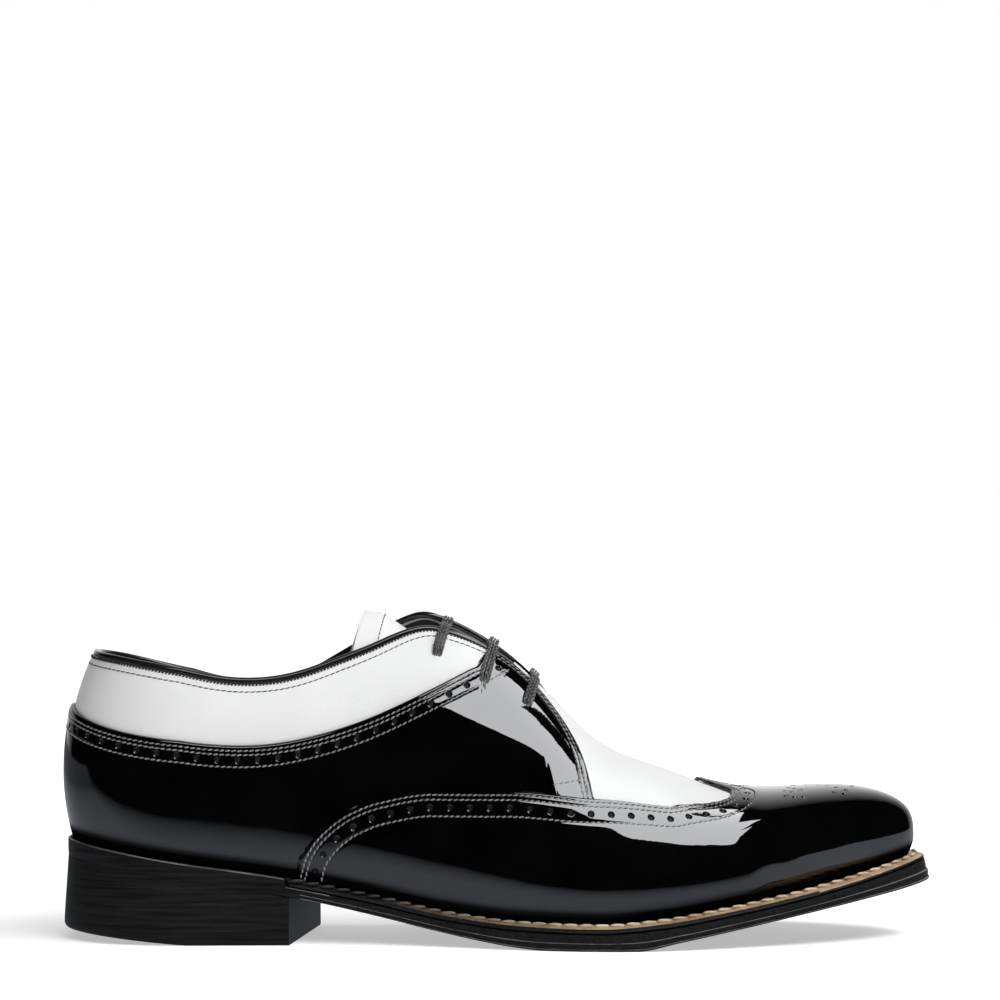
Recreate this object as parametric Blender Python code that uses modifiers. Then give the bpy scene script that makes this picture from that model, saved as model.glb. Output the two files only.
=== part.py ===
"""Two-tone wing-tip lace-up for the right foot: hollow upper on a welted sole and stacked heel.

The toe points along +X, the outer side of the foot is -Y and the floor is z = 0.
Every piece of the upper is taken from one last surface, skin(), at its own lift above it.
"""
import math

import bmesh
import bpy
import numpy as np
from mathutils import Vector

# Driving dimensions in millimetres
MM = 0.001
SOLE_TIP = 150.5
SOLE_BACK = -149.1
TOE_START = 100.0
HEEL_AXIS = -108.0
HEEL_END = -150.0
TOE_PLAN_POWER = 2.25
TOE_CREST_POWER = 3.3
HEEL_PLAN_POWER = 2.15
WALL = 1.8
OVERLAY = 0.9
SEAM = 0.6
GAP = 0.4
WELT_THICK = 2.4
WELT_SLOPE = 1.2
WELT_SETBACK = 0.1
WELT_ROUND = 0.4
WELT_CLEAR = 0.3
INSOLE_RISE = 2.2
INSOLE_CLEAR = 0.6
TONGUE_THICK = 1.8
BINDING_RADIUS = 1.0
BINDING_SEAT = 0.6
LACE_RADIUS = 1.2
WELD = 0.00005
PROBE = 0.2
RIM_PROBE = 0.03
LATERAL = -1
MEDIAL = 1

# Sections of the last across the foot, heel to toe.
# axis: ridge line in plan; lateral, medial: sole half widths from it; inset: sole edge to girth
# tuck: girth to foot edge; foot, girth, ridge: heights; power: squareness of the arch
SECTION_COLUMNS = ("x", "axis", "lateral", "medial", "inset", "tuck_lateral", "tuck_medial",
                   "foot", "girth", "ridge", "power")
SECTIONS = (
    (-150.0, 0.0, 32.5, 32.5, 0.0, 3.2, 3.2, 35.3, 57.5, 122.5, 2.00),
    (-108.0, 0.0, 32.5, 32.5, 1.0, 3.2, 3.4, 28.2, 52.0, 122.5, 2.00),
    (-77.0, 1.0, 32.8, 30.5, 1.5, 3.2, 4.5, 23.8, 46.0, 116.0, 2.00),
    (-46.0, 2.0, 34.8, 27.5, 2.8, 3.4, 6.0, 17.9, 38.0, 115.5, 2.10),
    (-16.0, 3.0, 42.0, 30.5, 4.4, 3.2, 5.0, 11.8, 30.0, 110.0, 2.20),
    (8.0, 3.4, 49.5, 38.0, 5.4, 2.8, 3.6, 9.3, 24.0, 94.8, 2.20),
    (34.0, 3.6, 54.6, 45.6, 6.0, 2.5, 2.6, 8.7, 21.0, 68.0, 2.20),
    (56.0, 3.6, 53.6, 47.4, 6.0, 2.4, 2.4, 10.4, 21.5, 58.2, 2.25),
    (76.0, 3.4, 49.0, 44.8, 6.2, 2.3, 2.3, 13.5, 23.5, 51.3, 2.30),
    (100.0, 3.0, 41.0, 38.0, 6.4, 2.2, 2.2, 18.0, 27.0, 49.8, 2.35),
    (120.0, 2.7, 34.9, 33.0, 6.6, 2.1, 2.1, 22.6, 30.0, 50.9, 2.38),
    (150.5, 2.4, 27.0, 27.0, 7.1, 2.0, 2.0, 30.4, 34.6, 50.4, 2.40),
)

# Underside of the outsole, flat under the ball
TREAD_COLUMNS = ("x", "z")
TREAD = (
    (-150.0, 28.9),
    (-108.0, 22.3),
    (-66.0, 15.2),
    (-40.0, 9.6),
    (-19.0, 5.1),
    (-6.0, 2.6),
    (6.0, 0.8),
    (16.0, 0.0),
    (47.0, 0.0),
    (61.0, 2.6),
    (88.0, 7.8),
    (116.0, 13.3),
    (150.5, 19.7),
)

# Collar height along each side, from the heel's back almost to the top of the facings
TOPLINE_COLUMNS = ("x", "lateral", "medial")
TOPLINE = (
    (-150.0, 97.2, 97.2),
    (-130.0, 95.6, 95.0),
    (-112.0, 92.4, 90.2),
    (-95.0, 88.8, 85.8),
    (-80.0, 88.2, 85.4),
    (-68.0, 90.2, 88.0),
    (-55.0, 94.7, 95.0),
    (-41.0, 100.3, 103.3),
    (-32.0, 104.3, 108.2),
)

# Throat slot in the white wall: distance of each edge from the ridge line
THROAT_COLUMNS = ("x", "lateral", "medial")
THROAT = (
    (-25.0, 15.2, 5.9),
    (-6.0, 15.6, 8.9),
    (6.0, 15.4, 9.6),
    (13.0, 13.4, 9.2),
    (17.5, 9.6, 7.4),
    (19.8, 5.0, 4.2),
    (20.6, 0.0, 0.0),
)
FACING_TOP = -25.0
CORNER_REACH = 8.0
CORNER_RISE = 3.0
CORNER_ROUND = 2.5
THROAT_BEND = 6.0
THROAT_FRONT = 20.6
VAMP_END = 28.0
FACING_MIDDLE = 2.0

# Top edge of the black quarter behind the facing, as heights on the side wall
QUARTER_COLUMNS = ("x", "height")
QUARTER = (
    (-150.0, 80.6),
    (-136.0, 76.6),
    (-118.0, 71.4),
    (-98.0, 68.2),
    (-80.0, 67.9),
    (-60.0, 71.4),
    (-42.0, 77.4),
    (-24.0, 85.7),
    (-8.0, 93.6),
)

# Front edge of the quarter down the facing and the side: distance from the ridge line
FACING_COLUMNS = ("x", "lateral", "medial")
FACING = (
    (-8.0, 15.9, 9.5),
    (6.0, 15.7, 9.9),
    (14.0, 17.0, 11.0),
    (21.0, 20.5, 14.5),
    (26.0, 26.0, 20.0),
    (29.6, 33.0, 27.0),
    (31.8, 39.5, 33.5),
    (33.0, 41.5, 35.5),
)
QUARTER_CORNER_BACK = -7.5
QUARTER_CORNER_FRONT = -2.5
QUARTER_FRONT = 33.0

# Top edge of the wing cap along the side, as heights on the wall
WING_SIDE_COLUMNS = ("x", "height")
WING_SIDE = (
    (-68.5, 22.3),
    (-66.0, 30.5),
    (-59.5, 39.2),
    (-51.0, 45.4),
    (-40.0, 49.6),
    (-21.0, 52.6),
    (4.0, 52.3),
    (34.0, 48.4),
    (58.0, 46.4),
)
# Top edge of the wing cap over the vamp, from the side up to the peak on the ridge
WING_TOP_COLUMNS = ("level", "x")
WING_TOP = (
    (0.50, 58.0),
    (0.545, 65.5),
    (0.60, 71.5),
    (0.67, 76.5),
    (0.75, 79.7),
    (0.83, 80.4),
    (0.90, 77.6),
    (0.95, 73.8),
    (1.0, 68.5),
)
WING_BACK = -68.5
WING_SHOULDER = 58.0
WING_LIFT_END = 46.0
WING_ALIGN = 86.0

# Stations of the sole between the toe and the heel seat, with the ends of its flat among them
SOLE_RUN = (61.0, 54.0, 47.0, 36.0, 26.0, 16.0, 6.0, -6.0, -19.0, -30.0, -40.0, -52.0, -62.0)
# Side profile of the sole edge: share of the height and growth beyond the outline
SOLE_EDGE = ((0.0, -1.3), (0.1, -0.3), (0.44, 0.0), (0.5, -0.55), (0.56, 0.0), (1.0, -0.1))
HEEL_EDGE = ((0.0, 0.3), (0.05, 1.0), (0.26, 0.8), (0.28, 0.4), (0.30, 0.7), (1.0, -0.5))
INSOLE_EDGE = ((0.0, 0.0), (0.8, 0.0), (1.0, -0.8))
WAIST_BEVEL = 3.0
WAIST_MIDDLE = -52.0
WAIST_REACH = 24.0
SEAT_STEP_BACK = -72.2
SEAT_STEP_FRONT = -71.8
HEEL_BREAST_LATERAL = -70.5
HEEL_BREAST_MEDIAL = -62.8
HEEL_BEVEL_START = -106.0
HEEL_BEVEL = 3.8
WELT_END = -70.5

# Tongue and laces
# sag: how far its middle hangs below the facings' surface
TONGUE_COLUMNS = ("x", "lateral", "medial", "sag")
TONGUE = (
    (-46.0, 25.0, 17.0, 0.4),
    (-40.0, 26.0, 17.5, 0.9),
    (-34.0, 27.0, 18.0, 3.6),
    (-25.0, 27.0, 18.5, 7.5),
    (-12.0, 25.5, 18.5, 5.4),
    (0.0, 24.0, 18.0, 3.0),
    (29.0, 17.0, 15.0, 0.0),
)
TONGUE_CLEAR = 0.8
TONGUE_SLANT = 6.0
# Lace bars: eyelet position along the foot, reach from the ridge line to each side
# seat: surface lift it lies on; lean: how far forward its middle runs; dip: hang between the facings
LACE_COLUMNS = ("x", "lateral", "medial", "seat", "lean", "dip")
LACES = (
    (-20.9, 22.9, 17.0, 0.6, 4.2, 4.2),
    (-5.1, 26.3, 19.0, 1.5, 4.2, 4.4),
    (9.2, 27.4, 20.0, 1.5, 3.4, 2.2),
)
BEAD_WIDTH = 3.0


def column(table, columns, name, steady=False):
    """Smooth curve through one named column of a table, as a function of its first column."""
    xs = np.array([row[0] for row in table])
    ys = np.array([row[columns.index(name)] for row in table])
    steps = np.diff(xs)
    slopes = np.diff(ys) / steps
    if steady:
        tangents = steady_tangents(slopes)
    else:
        tangents = spline_tangents(steps, slopes)

    def value(x):
        x = min(max(x, xs[0]), xs[-1])
        i = int(min(max(np.searchsorted(xs, x) - 1, 0), len(steps) - 1))
        t = (x - xs[i]) / steps[i]
        start = (1 + 2 * t) * (1 - t) ** 2 * ys[i] + t * (1 - t) ** 2 * steps[i] * tangents[i]
        end = t * t * (3 - 2 * t) * ys[i + 1] + t * t * (t - 1) * steps[i] * tangents[i + 1]
        return float(start + end)

    return value


def steady_tangents(slopes):
    """Tangents that never overshoot the rows, so equal rows give a flat."""
    inner = []
    for before, after in zip(slopes[:-1], slopes[1:]):
        inner.append(0.0 if before * after <= 0 else 2 * before * after / (before + after))
    return np.array([slopes[0], *inner, slopes[-1]])


def spline_tangents(steps, slopes):
    """Tangents of the natural cubic spline, which keeps the curvature continuous."""
    count = len(steps) + 1
    system = np.zeros((count, count))
    right = np.zeros(count)
    system[0, :2] = 2, 1
    system[-1, -2:] = 1, 2
    right[0] = 3 * slopes[0]
    right[-1] = 3 * slopes[-1]
    for i in range(1, count - 1):
        system[i, i - 1:i + 2] = 1 / steps[i - 1], 2 / steps[i - 1] + 2 / steps[i], 1 / steps[i]
        right[i] = 3 * (slopes[i - 1] / steps[i - 1] + slopes[i] / steps[i])
    return np.linalg.solve(system, right)


def section(name):
    return column(SECTIONS, SECTION_COLUMNS, name)


axis = section("axis")
inset = section("inset")
girth = section("girth")
ridge = section("ridge")
power = section("power")
foot = column(SECTIONS, SECTION_COLUMNS, "foot", steady=True)
half_width = {LATERAL: section("lateral"), MEDIAL: section("medial")}
tuck = {LATERAL: section("tuck_lateral"), MEDIAL: section("tuck_medial")}
throat = {side: column(THROAT, THROAT_COLUMNS, name, steady=True)
          for side, name in ((LATERAL, "lateral"), (MEDIAL, "medial"))}
tread = column(TREAD, TREAD_COLUMNS, "z", steady=True)
quarter_top = column(QUARTER, QUARTER_COLUMNS, "height")
facing_spread = {side: column(FACING, FACING_COLUMNS, name, steady=True)
                 for side, name in ((LATERAL, "lateral"), (MEDIAL, "medial"))}
wing_side = column(WING_SIDE, WING_SIDE_COLUMNS, "height", steady=True)
wing_top = column(WING_TOP, WING_TOP_COLUMNS, "x", steady=True)
tongue_half = {side: column(TONGUE, TONGUE_COLUMNS, name, steady=True)
               for side, name in ((LATERAL, "lateral"), (MEDIAL, "medial"))}
tongue_sag = column(TONGUE, TONGUE_COLUMNS, "sag", steady=True)


# The last

def toe_share(a):
    return max(0.0, (a - TOE_START) / (SOLE_TIP - TOE_START))


def outline(side, a, grow=0.0):
    """Plan point at a along the foot on one side, grown outwards from the sole's edge."""
    if a > TOE_START:
        share = toe_share(a)
        x = TOE_START + (SOLE_TIP + grow - TOE_START) * share
        closing = (1 - share ** TOE_PLAN_POWER) ** (1 / TOE_PLAN_POWER)
        return x, axis(a) + side * (half_width[side](a) + grow) * closing
    if a < HEEL_AXIS:
        turn = (HEEL_AXIS - a) / (HEEL_AXIS - HEEL_END) * math.pi / 2
        bend = 2 / HEEL_PLAN_POWER
        x = HEEL_AXIS - (HEEL_AXIS - SOLE_BACK + grow) * math.sin(turn) ** bend
        across = (half_width[side](HEEL_AXIS) + grow) * max(0.0, math.cos(turn)) ** bend
        return x, axis(HEEL_AXIS) + side * across
    return a, axis(a) + side * (half_width[side](a) + grow)


def crest(a):
    """Height of the ridge, closed down to the girth line at the toe's tip."""
    share = toe_share(a)
    closing = (1 - share ** TOE_CREST_POWER) ** (1 / TOE_CREST_POWER)
    low = girth(a)
    return low + (ridge(max(a, HEEL_AXIS)) - low) * closing


def bare_skin(side, a, level):
    """Point of the last: level -1 is the foot edge, 0 the girth line and 1 the ridge."""
    if level < 0:
        x, y = outline(side, a, -inset(a) - tuck[side](a) * level * level)
        return Vector((x, y, girth(a) + level * (girth(a) - foot(x))))
    x, y = outline(side, a, -inset(a))
    turn = level * math.pi / 2
    bend = 2 / power(a)
    reach = max(0.0, math.cos(turn)) ** bend
    rise = math.sin(turn) ** bend
    spine_x = max(x, HEEL_AXIS)
    spine_y = axis(max(a, HEEL_AXIS))
    z = girth(a) + (crest(a) - girth(a)) * rise
    return Vector((spine_x + (x - spine_x) * reach, spine_y + (y - spine_y) * reach, z))


def outward(side, a, level):
    """Unit normal of the last, level with the floor from the girth line down."""
    if a >= SOLE_TIP:
        return Vector((1.0, 0.0, 0.0))
    level = max(0.0, level)
    ahead = bare_skin(side, min(a + PROBE, SOLE_TIP), level)
    along = ahead - bare_skin(side, max(a - PROBE, HEEL_END), level)
    if level == 0.0:
        up = Vector((0.0, 0.0, 1.0))
    elif level == 1.0:
        up = Vector((0.0, -side, 0.0))
    else:
        step = min(0.01, level, 1 - level)
        up = bare_skin(side, a, level + step) - bare_skin(side, a, level - step)
    normal = along.cross(up) * -side
    if level in (0.0, 1.0):
        normal[2 if level == 0.0 else 1] = 0.0
    if a <= HEEL_END:
        normal.y = 0.0
    return normal.normalized()


def skin(side, a, level, lift=0.0):
    """Point of the last moved out, or in, along its normal."""
    return bare_skin(side, a, level) + outward(side, a, level) * lift


def level_at_height(a, z):
    if z < girth(a):
        return max(-1.0, (z - girth(a)) / (girth(a) - foot(a)))
    rise = (z - girth(a)) / (crest(a) - girth(a))
    return math.asin(min(1.0, rise) ** (power(a) / 2)) * 2 / math.pi


def level_at_spread(side, a, spread):
    reach = spread / (half_width[side](a) - inset(a))
    return math.acos(min(1.0, max(0.0, reach)) ** (power(a) / 2)) * 2 / math.pi


def facing_corner(side):
    return bare_skin(side, FACING_TOP, level_at_spread(side, FACING_TOP, throat[side](FACING_TOP))).z


corners = (facing_corner(LATERAL), facing_corner(MEDIAL))
beyond = (FACING_TOP + CORNER_REACH, *(corner + CORNER_RISE for corner in corners))
collar_rows = (*TOPLINE, (FACING_TOP, *corners), beyond)
topline = {side: column(collar_rows, TOPLINE_COLUMNS, name)
           for side, name in ((LATERAL, "lateral"), (MEDIAL, "medial"))}


def top_level(side, a):
    """Level of the white wall's top edge: ridge, throat edge, round corner or collar."""
    if a >= THROAT_FRONT:
        return 1.0
    facing = level_at_spread(side, a, throat[side](a))
    if a > FACING_TOP + CORNER_REACH:
        return facing
    collar = topline[side](a)
    if a > FACING_TOP - CORNER_REACH:
        collar = soft_min(collar, bare_skin(side, a, facing).z)
    return level_at_height(a, collar)


def soft_min(first, second):
    """Lower of two heights, rounded where they cross."""
    near = max(0.0, CORNER_ROUND - abs(first - second)) / CORNER_ROUND
    return min(first, second) - near * near * CORNER_ROUND / 4


def quarter_level(side, a):
    """Level of the black quarter's top edge: side edge, then a corner up to the facing."""
    facing = level_at_spread(side, a, facing_spread[side](a))
    if a > QUARTER_CORNER_FRONT:
        return facing
    rising = level_at_height(a, quarter_top(a))
    return rising + (facing - rising) * blend(a, QUARTER_CORNER_BACK, QUARTER_CORNER_FRONT)


def blend(a, start, end):
    """Soft step from 0 at start to 1 at end."""
    t = min(1.0, max(0.0, (a - start) / (end - start)))
    return t * t * (3 - 2 * t)


# Mesh helpers

def finish(name, colour, roughness):
    """Principled material of one piece."""
    material = bpy.data.materials.new(name)
    material.use_nodes = True
    shader = material.node_tree.nodes["Principled BSDF"]
    shader.inputs["Base Color"].default_value = (*colour, 1.0)
    shader.inputs["Roughness"].default_value = roughness
    shader.inputs["Metallic"].default_value = 0.0
    return material


def keep(bm, name, material):
    """Store a finished bmesh as a smooth-shaded object of the shoe."""
    mesh = bpy.data.meshes.new(name)
    bm.to_mesh(mesh)
    bm.free()
    mesh.shade_smooth()
    mesh.set_sharp_from_angle(angle=math.radians(40))
    mesh.materials.append(material)
    piece = bpy.data.objects.new(name, mesh)
    shoe.objects.link(piece)
    return piece


def mapped_grid(columns, rows, *places):
    """Grids whose crossings are moved to place(i, j), in millimetres, and welded together.

    A crossing without a place is cut away with the faces round it.
    """
    bm = bmesh.new()
    absent = []
    for place in places:
        grid = bmesh.ops.create_grid(bm, x_segments=columns, y_segments=rows, size=0.5)
        for vert in grid["verts"]:
            i = round((vert.co.x + 0.5) * columns)
            j = round((vert.co.y + 0.5) * rows)
            point = place(i, j)
            if point is None:
                absent.append(vert)
            else:
                vert.co = Vector(point) * MM
    bmesh.ops.delete(bm, geom=absent, context='VERTS')
    bmesh.ops.remove_doubles(bm, verts=bm.verts, dist=WELD)
    return bm


def shell(name, material, thickness, columns, rows, *places):
    """Open sheet of the last given a wall towards the inside."""
    piece = keep(mapped_grid(columns, rows, *places), name, material)
    wall = piece.modifiers.new("wall", 'SOLIDIFY')
    wall.thickness = thickness * MM
    wall.offset = -1.0
    return piece


def loft(name, material, rings):
    """Closed body through rings of points, with its open ends filled."""
    around = len(rings[0])
    bm = mapped_grid(len(rings) - 1, around, lambda i, j: rings[i][j % around])
    open_edges = [edge for edge in bm.edges if edge.is_boundary]
    bmesh.ops.holes_fill(bm, edges=open_edges, sides=0)
    bmesh.ops.recalc_face_normals(bm, faces=bm.faces)
    return keep(bm, name, material)


def tube(name, material, points, radius, resolution):
    """Round cord along points in millimetres."""
    data = bpy.data.curves.new(name, 'CURVE')
    data.dimensions = '3D'
    data.bevel_depth = radius * MM
    data.bevel_resolution = resolution
    data.use_fill_caps = True
    spline = data.splines.new('POLY')
    spline.points.add(len(points) - 1)
    for target, point in zip(spline.points, points):
        target.co = (*(Vector(point) * MM), 1.0)
    data.materials.append(material)
    piece = bpy.data.objects.new(name, data)
    shoe.objects.link(piece)
    return piece


# Stations along the foot, toe to heel

def toe_stations(count):
    """Stations round the toe, closer together towards the tip."""
    run = SOLE_TIP - TOE_START
    return [TOE_START + run * math.cos(math.pi / 2 * k / count) for k in range(count)]


def even(start, end, count):
    """Stations from start towards end, without the end."""
    return [start + (end - start) * k / count for k in range(count)]


def heel_stations(count):
    return even(HEEL_AXIS, HEEL_END, count) + [HEEL_END]


def both_sides(stations):
    """Walk from the inner side's first station round the heel to the outer side's first."""
    inner = [(MEDIAL, a) for a in stations]
    outer = [(LATERAL, a) for a in reversed(stations[:-1])]
    return inner + outer


def wall_levels(top, count):
    """Levels of one rib: foot edge, side, girth line, then even steps to its top."""
    return [-1.0, -0.5] + [top * k / count for k in range(count + 1)]


def rim_stations():
    """Stations of the facings and the collar, close together round the facing's top corner."""
    facing = [THROAT_BEND, FACING_MIDDLE, QUARTER_CORNER_FRONT, QUARTER_CORNER_BACK]
    facing += [FACING_TOP + CORNER_REACH, FACING_TOP + CORNER_RISE, FACING_TOP]
    return facing + even(FACING_TOP - CORNER_REACH / 2, HEEL_AXIS, 9) + heel_stations(7)


# Pieces of the upper

def make_upper():
    throat_round = [row[0] for row in reversed(THROAT) if row[0] > THROAT_BEND]
    stations = toe_stations(7) + even(TOE_START, VAMP_END, 6) + even(VAMP_END, THROAT_FRONT, 2)
    walk = both_sides(stations + throat_round + rim_stations())
    ribs = [wall_levels(top_level(side, a), 8) for side, a in walk]
    colour = finish("white_leather", (0.80, 0.79, 0.76), 0.45)
    shell("upper", colour, WALL, len(walk) - 1, 10, lambda i, j: skin(*walk[i], ribs[i][j]))


def make_quarter():
    corner_middle = (QUARTER_CORNER_FRONT + QUARTER_CORNER_BACK) / 2
    stations = [row[0] for row in reversed(FACING) if row[0] >= THROAT_BEND] + [FACING_MIDDLE]
    stations += [QUARTER_CORNER_FRONT, corner_middle, QUARTER_CORNER_BACK]
    stations += even(FACING_TOP + CORNER_REACH, HEEL_AXIS, 8) + heel_stations(7)
    walk = both_sides(stations)
    ribs = [wall_levels(quarter_level(side, a), 7) for side, a in walk]
    colour = finish("black_patent_quarter", (0.010, 0.010, 0.011), 0.12)
    shell("quarter", colour, OVERLAY, len(walk) - 1, 9,
          lambda i, j: skin(*walk[i], ribs[i][j], SEAM + OVERLAY))


def wing_lift(a):
    """Outer lift of the wing cap: over the quarter at the back, down on the vamp in front."""
    over = 2 * (SEAM + OVERLAY)
    return over - (SEAM + OVERLAY) * blend(a, QUARTER_FRONT + 1.5, WING_LIFT_END)


def make_wing_cap():
    """Ribs up to the side edge behind the shoulder, level rows round the toe in front of it."""
    side_stations = [row[0] for row in WING_SIDE[:3]] + even(WING_SIDE[3][0], THROAT_FRONT, 7)
    side_stations += even(THROAT_FRONT, QUARTER_FRONT, 3) + even(QUARTER_FRONT, WING_SHOULDER, 4)
    toe = even(WING_ALIGN, TOE_START, 2) + [TOE_START] + toe_stations(6)[::-1]
    to_align = 3
    side_steps = 7
    levels = rib_to_height(WING_SHOULDER, wing_side(WING_SHOULDER), side_steps)
    levels += [level for level, _ in WING_TOP[1:]]
    columns = len(side_stations) + to_align + len(toe) - 1

    def place(side, i, j):
        if i < len(side_stations):
            if j > side_steps:
                return None
            a = side_stations[i]
            return skin(side, a, rib_to_height(a, wing_side(a), side_steps)[j], wing_lift(a))
        step = i - len(side_stations)
        start = wing_top(levels[max(j, side_steps)])
        a = start + (WING_ALIGN - start) * step / to_align
        if step >= to_align:
            a = toe[step - to_align]
        return skin(side, a, levels[j], wing_lift(a))

    colour = finish("black_patent_wing", (0.010, 0.010, 0.011), 0.10)
    shell("wing_cap", colour, OVERLAY, columns, len(levels) - 1,
          lambda i, j: place(LATERAL, i, j), lambda i, j: place(MEDIAL, columns - i, j))


def rib_to_height(a, height, count):
    """Levels of one rib in even steps of height up to an edge."""
    return [level_at_height(a, foot(a) + (height - foot(a)) * k / count) for k in range(count + 1)]


def make_tongue():
    along = even(TONGUE[0][0], TONGUE[-1][0], 10) + [TONGUE[-1][0]]
    across = 12

    def place(i, j):
        share = 2 * j / across - 1
        side = MEDIAL if share > 0 else LATERAL
        a = along[i] - TONGUE_SLANT * share * share * (1 - i / (len(along) - 1))
        spread = abs(share) * tongue_half[side](a)
        sag = tongue_sag(a) * (1 - share * share)
        return skin(side, a, level_at_spread(side, a, spread), -WALL - TONGUE_CLEAR - sag)

    colour = finish("white_tongue_leather", (0.78, 0.77, 0.74), 0.5)
    shell("tongue", colour, TONGUE_THICK, len(along) - 1, across, place)


def make_collar_binding():
    """Bead that sits on the rim of the white wall, from facing to facing round the heel."""
    walk = both_sides(rim_stations())
    rim = [skin(side, a, top_level(side, a)) for side, a in walk]
    path = []
    for i, (side, a) in enumerate(walk):
        along = (rim[min(i + 1, len(rim) - 1)] - rim[max(i - 1, 0)]).normalized()
        below = skin(side, a, top_level(side, a) - RIM_PROBE)
        away = along.cross(rim[i] - below).normalized()
        upward = away.cross(along)
        path.append(rim[i] - away * WALL / 2 + upward * (BINDING_SEAT + BINDING_RADIUS))
    colour = finish("black_binding", (0.012, 0.012, 0.012), 0.35)
    tube("collar_binding", colour, path, BINDING_RADIUS, 1)


def hang(side, a, spread):
    """Share of a lace's dip: whole on the ridge line, none from the bead of the facings outwards."""
    return max(0.0, 1 - (spread / (throat[side](min(a, THROAT_BEND)) - BEAD_WIDTH)) ** 2)


def make_laces():
    colour = finish("black_lace", (0.018, 0.018, 0.019), 0.7)
    steps = 10
    for number, row in enumerate(LACES, start=1):
        lace = dict(zip(LACE_COLUMNS, row))
        path = []
        for k in range(steps + 1):
            share = 2 * k / steps - 1
            side = MEDIAL if share > 0 else LATERAL
            a = lace["x"] + lace["lean"] * (1 - share * share)
            spread = abs(share) * lace["medial" if side == MEDIAL else "lateral"]
            lift = lace["seat"] + GAP + LACE_RADIUS - lace["dip"] * hang(side, a, spread)
            path.append(skin(side, a, level_at_spread(side, a, spread), lift))
        tube(f"lace_bar_{number}", colour, path, LACE_RADIUS, 2)


# Pieces of the bottom

def plate_ring(sides, edge, low, high, shrink=None):
    """Ring of one cross-section: up the outer edge profile and down the inner one."""
    ring = []
    for side, a in sides:
        profile = edge if side == LATERAL else edge[::-1]
        less = shrink(side, a) if shrink else 0.0
        for share, extra in profile:
            x, y = outline(side, a, extra - less)
            ring.append((x, y, low(x) + (high(x) - low(x)) * share))
    return ring


def sole_top(x):
    """Top of the outsole: under the welt in front, under the heel seat behind."""
    if x < (SEAT_STEP_BACK + SEAT_STEP_FRONT) / 2:
        return foot(x) - GAP
    return foot(x) - 2 * GAP - WELT_THICK


def sole_stations():
    stations = toe_stations(8) + even(TOE_START, SOLE_RUN[0], 3) + list(SOLE_RUN)
    seat = even(SEAT_STEP_BACK, HEEL_AXIS, 3) + heel_stations(7)
    return stations + [SEAT_STEP_FRONT] + seat


def make_outsole():
    rings = []
    for a in sole_stations():
        waist = max(0.0, 1 - ((a - WAIST_MIDDLE) / WAIST_REACH) ** 2)
        (share, extra), *rest = SOLE_EDGE
        edge = [(share, extra - WAIST_BEVEL * waist)] + rest
        rings.append(plate_ring(((LATERAL, a), (MEDIAL, a)), edge, tread, sole_top))
    loft("outsole", finish("black_sole_edge", (0.020, 0.020, 0.021), 0.45), rings)


def make_insole():
    rings = []
    for a in sole_stations():
        rings.append(plate_ring(((LATERAL, a), (MEDIAL, a)), INSOLE_EDGE,
                                lambda x: sole_top(x) + GAP,
                                lambda x: foot(x) + INSOLE_RISE, insole_shrink))
    loft("insole", finish("tan_insole_leather", (0.42, 0.30, 0.19), 0.7), rings)


def insole_shrink(side, a):
    """Sole edge to insole edge, clear inside the foot of the upper."""
    return inset(a) + tuck[side](a) + WALL + INSOLE_CLEAR


def make_heel():
    turns = heel_stations(7)
    lateral = even(HEEL_BREAST_LATERAL, HEEL_AXIS, 6) + turns
    medial = even(HEEL_BREAST_MEDIAL, HEEL_AXIS, 6) + turns
    rings = [plate_ring(((LATERAL, a), (MEDIAL, b)), HEEL_EDGE, heel_tread, lambda x: tread(x) - GAP)
             for a, b in zip(lateral, medial)]
    loft("heel", finish("black_heel_stack", (0.016, 0.016, 0.017), 0.4), rings)


def heel_tread(x):
    """Tread of the heel: flat on the floor, eased up at the back."""
    return HEEL_BEVEL * max(0.0, (HEEL_BEVEL_START - x) / (HEEL_BEVEL_START - SOLE_BACK))


def make_welt():
    """Strip from breast to breast: flat under the upper, sloping down to the sole's edge."""
    ball = SOLE_RUN[3]
    stations = toe_stations(8) + even(TOE_START, ball, 6) + even(ball, WELT_END, 9) + [WELT_END]
    outer = [(LATERAL, a) for a in reversed(stations)]
    inner = [(MEDIAL, a) for a in stations[1:]]
    rings = []
    for side, a in outer + inner:
        under = INSOLE_CLEAR - insole_shrink(side, a)
        seat = 2 * (SEAM + OVERLAY) + WELT_CLEAR - inset(a) - tuck[side](a)
        edge = -WELT_SETBACK
        rows = ((under, -WELT_THICK), (edge - WELT_ROUND, -WELT_THICK), (edge, WELT_ROUND - WELT_THICK),
                (edge, -WELT_SLOPE - WELT_ROUND), (edge - WELT_ROUND, -WELT_SLOPE),
                (seat, 0.0), (under, 0.0))
        ring = []
        for grow, drop in rows:
            x, y = outline(side, a, grow)
            ring.append((x, y, foot(x) - GAP + drop))
        rings.append(ring)
    loft("welt", finish("tan_welt_leather", (0.45, 0.31, 0.17), 0.6), rings)


for old in list(bpy.data.objects):
    bpy.data.objects.remove(old, do_unlink=True)

shoe = bpy.data.collections.new("wing_tip_shoe")
bpy.context.scene.collection.children.link(shoe)

make_outsole()
make_welt()
make_heel()
make_insole()
make_upper()
make_quarter()
make_wing_cap()
make_tongue()
make_collar_binding()
make_laces()
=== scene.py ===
"""Looks of the two-tone wing-tip lace-up for the right foot.

The toe points along +X, the outer side of the foot is -Y and the floor is z = 0.
Sizes are millimetres and become metres where a mesh is made. Every piece of the
upper is taken from one last surface, skin(), at its own lift above it.
"""
import math
from bisect import bisect_right

import bmesh
import bpy
import numpy as np
from mathutils import Matrix, Vector
from mathutils.kdtree import KDTree


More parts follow.
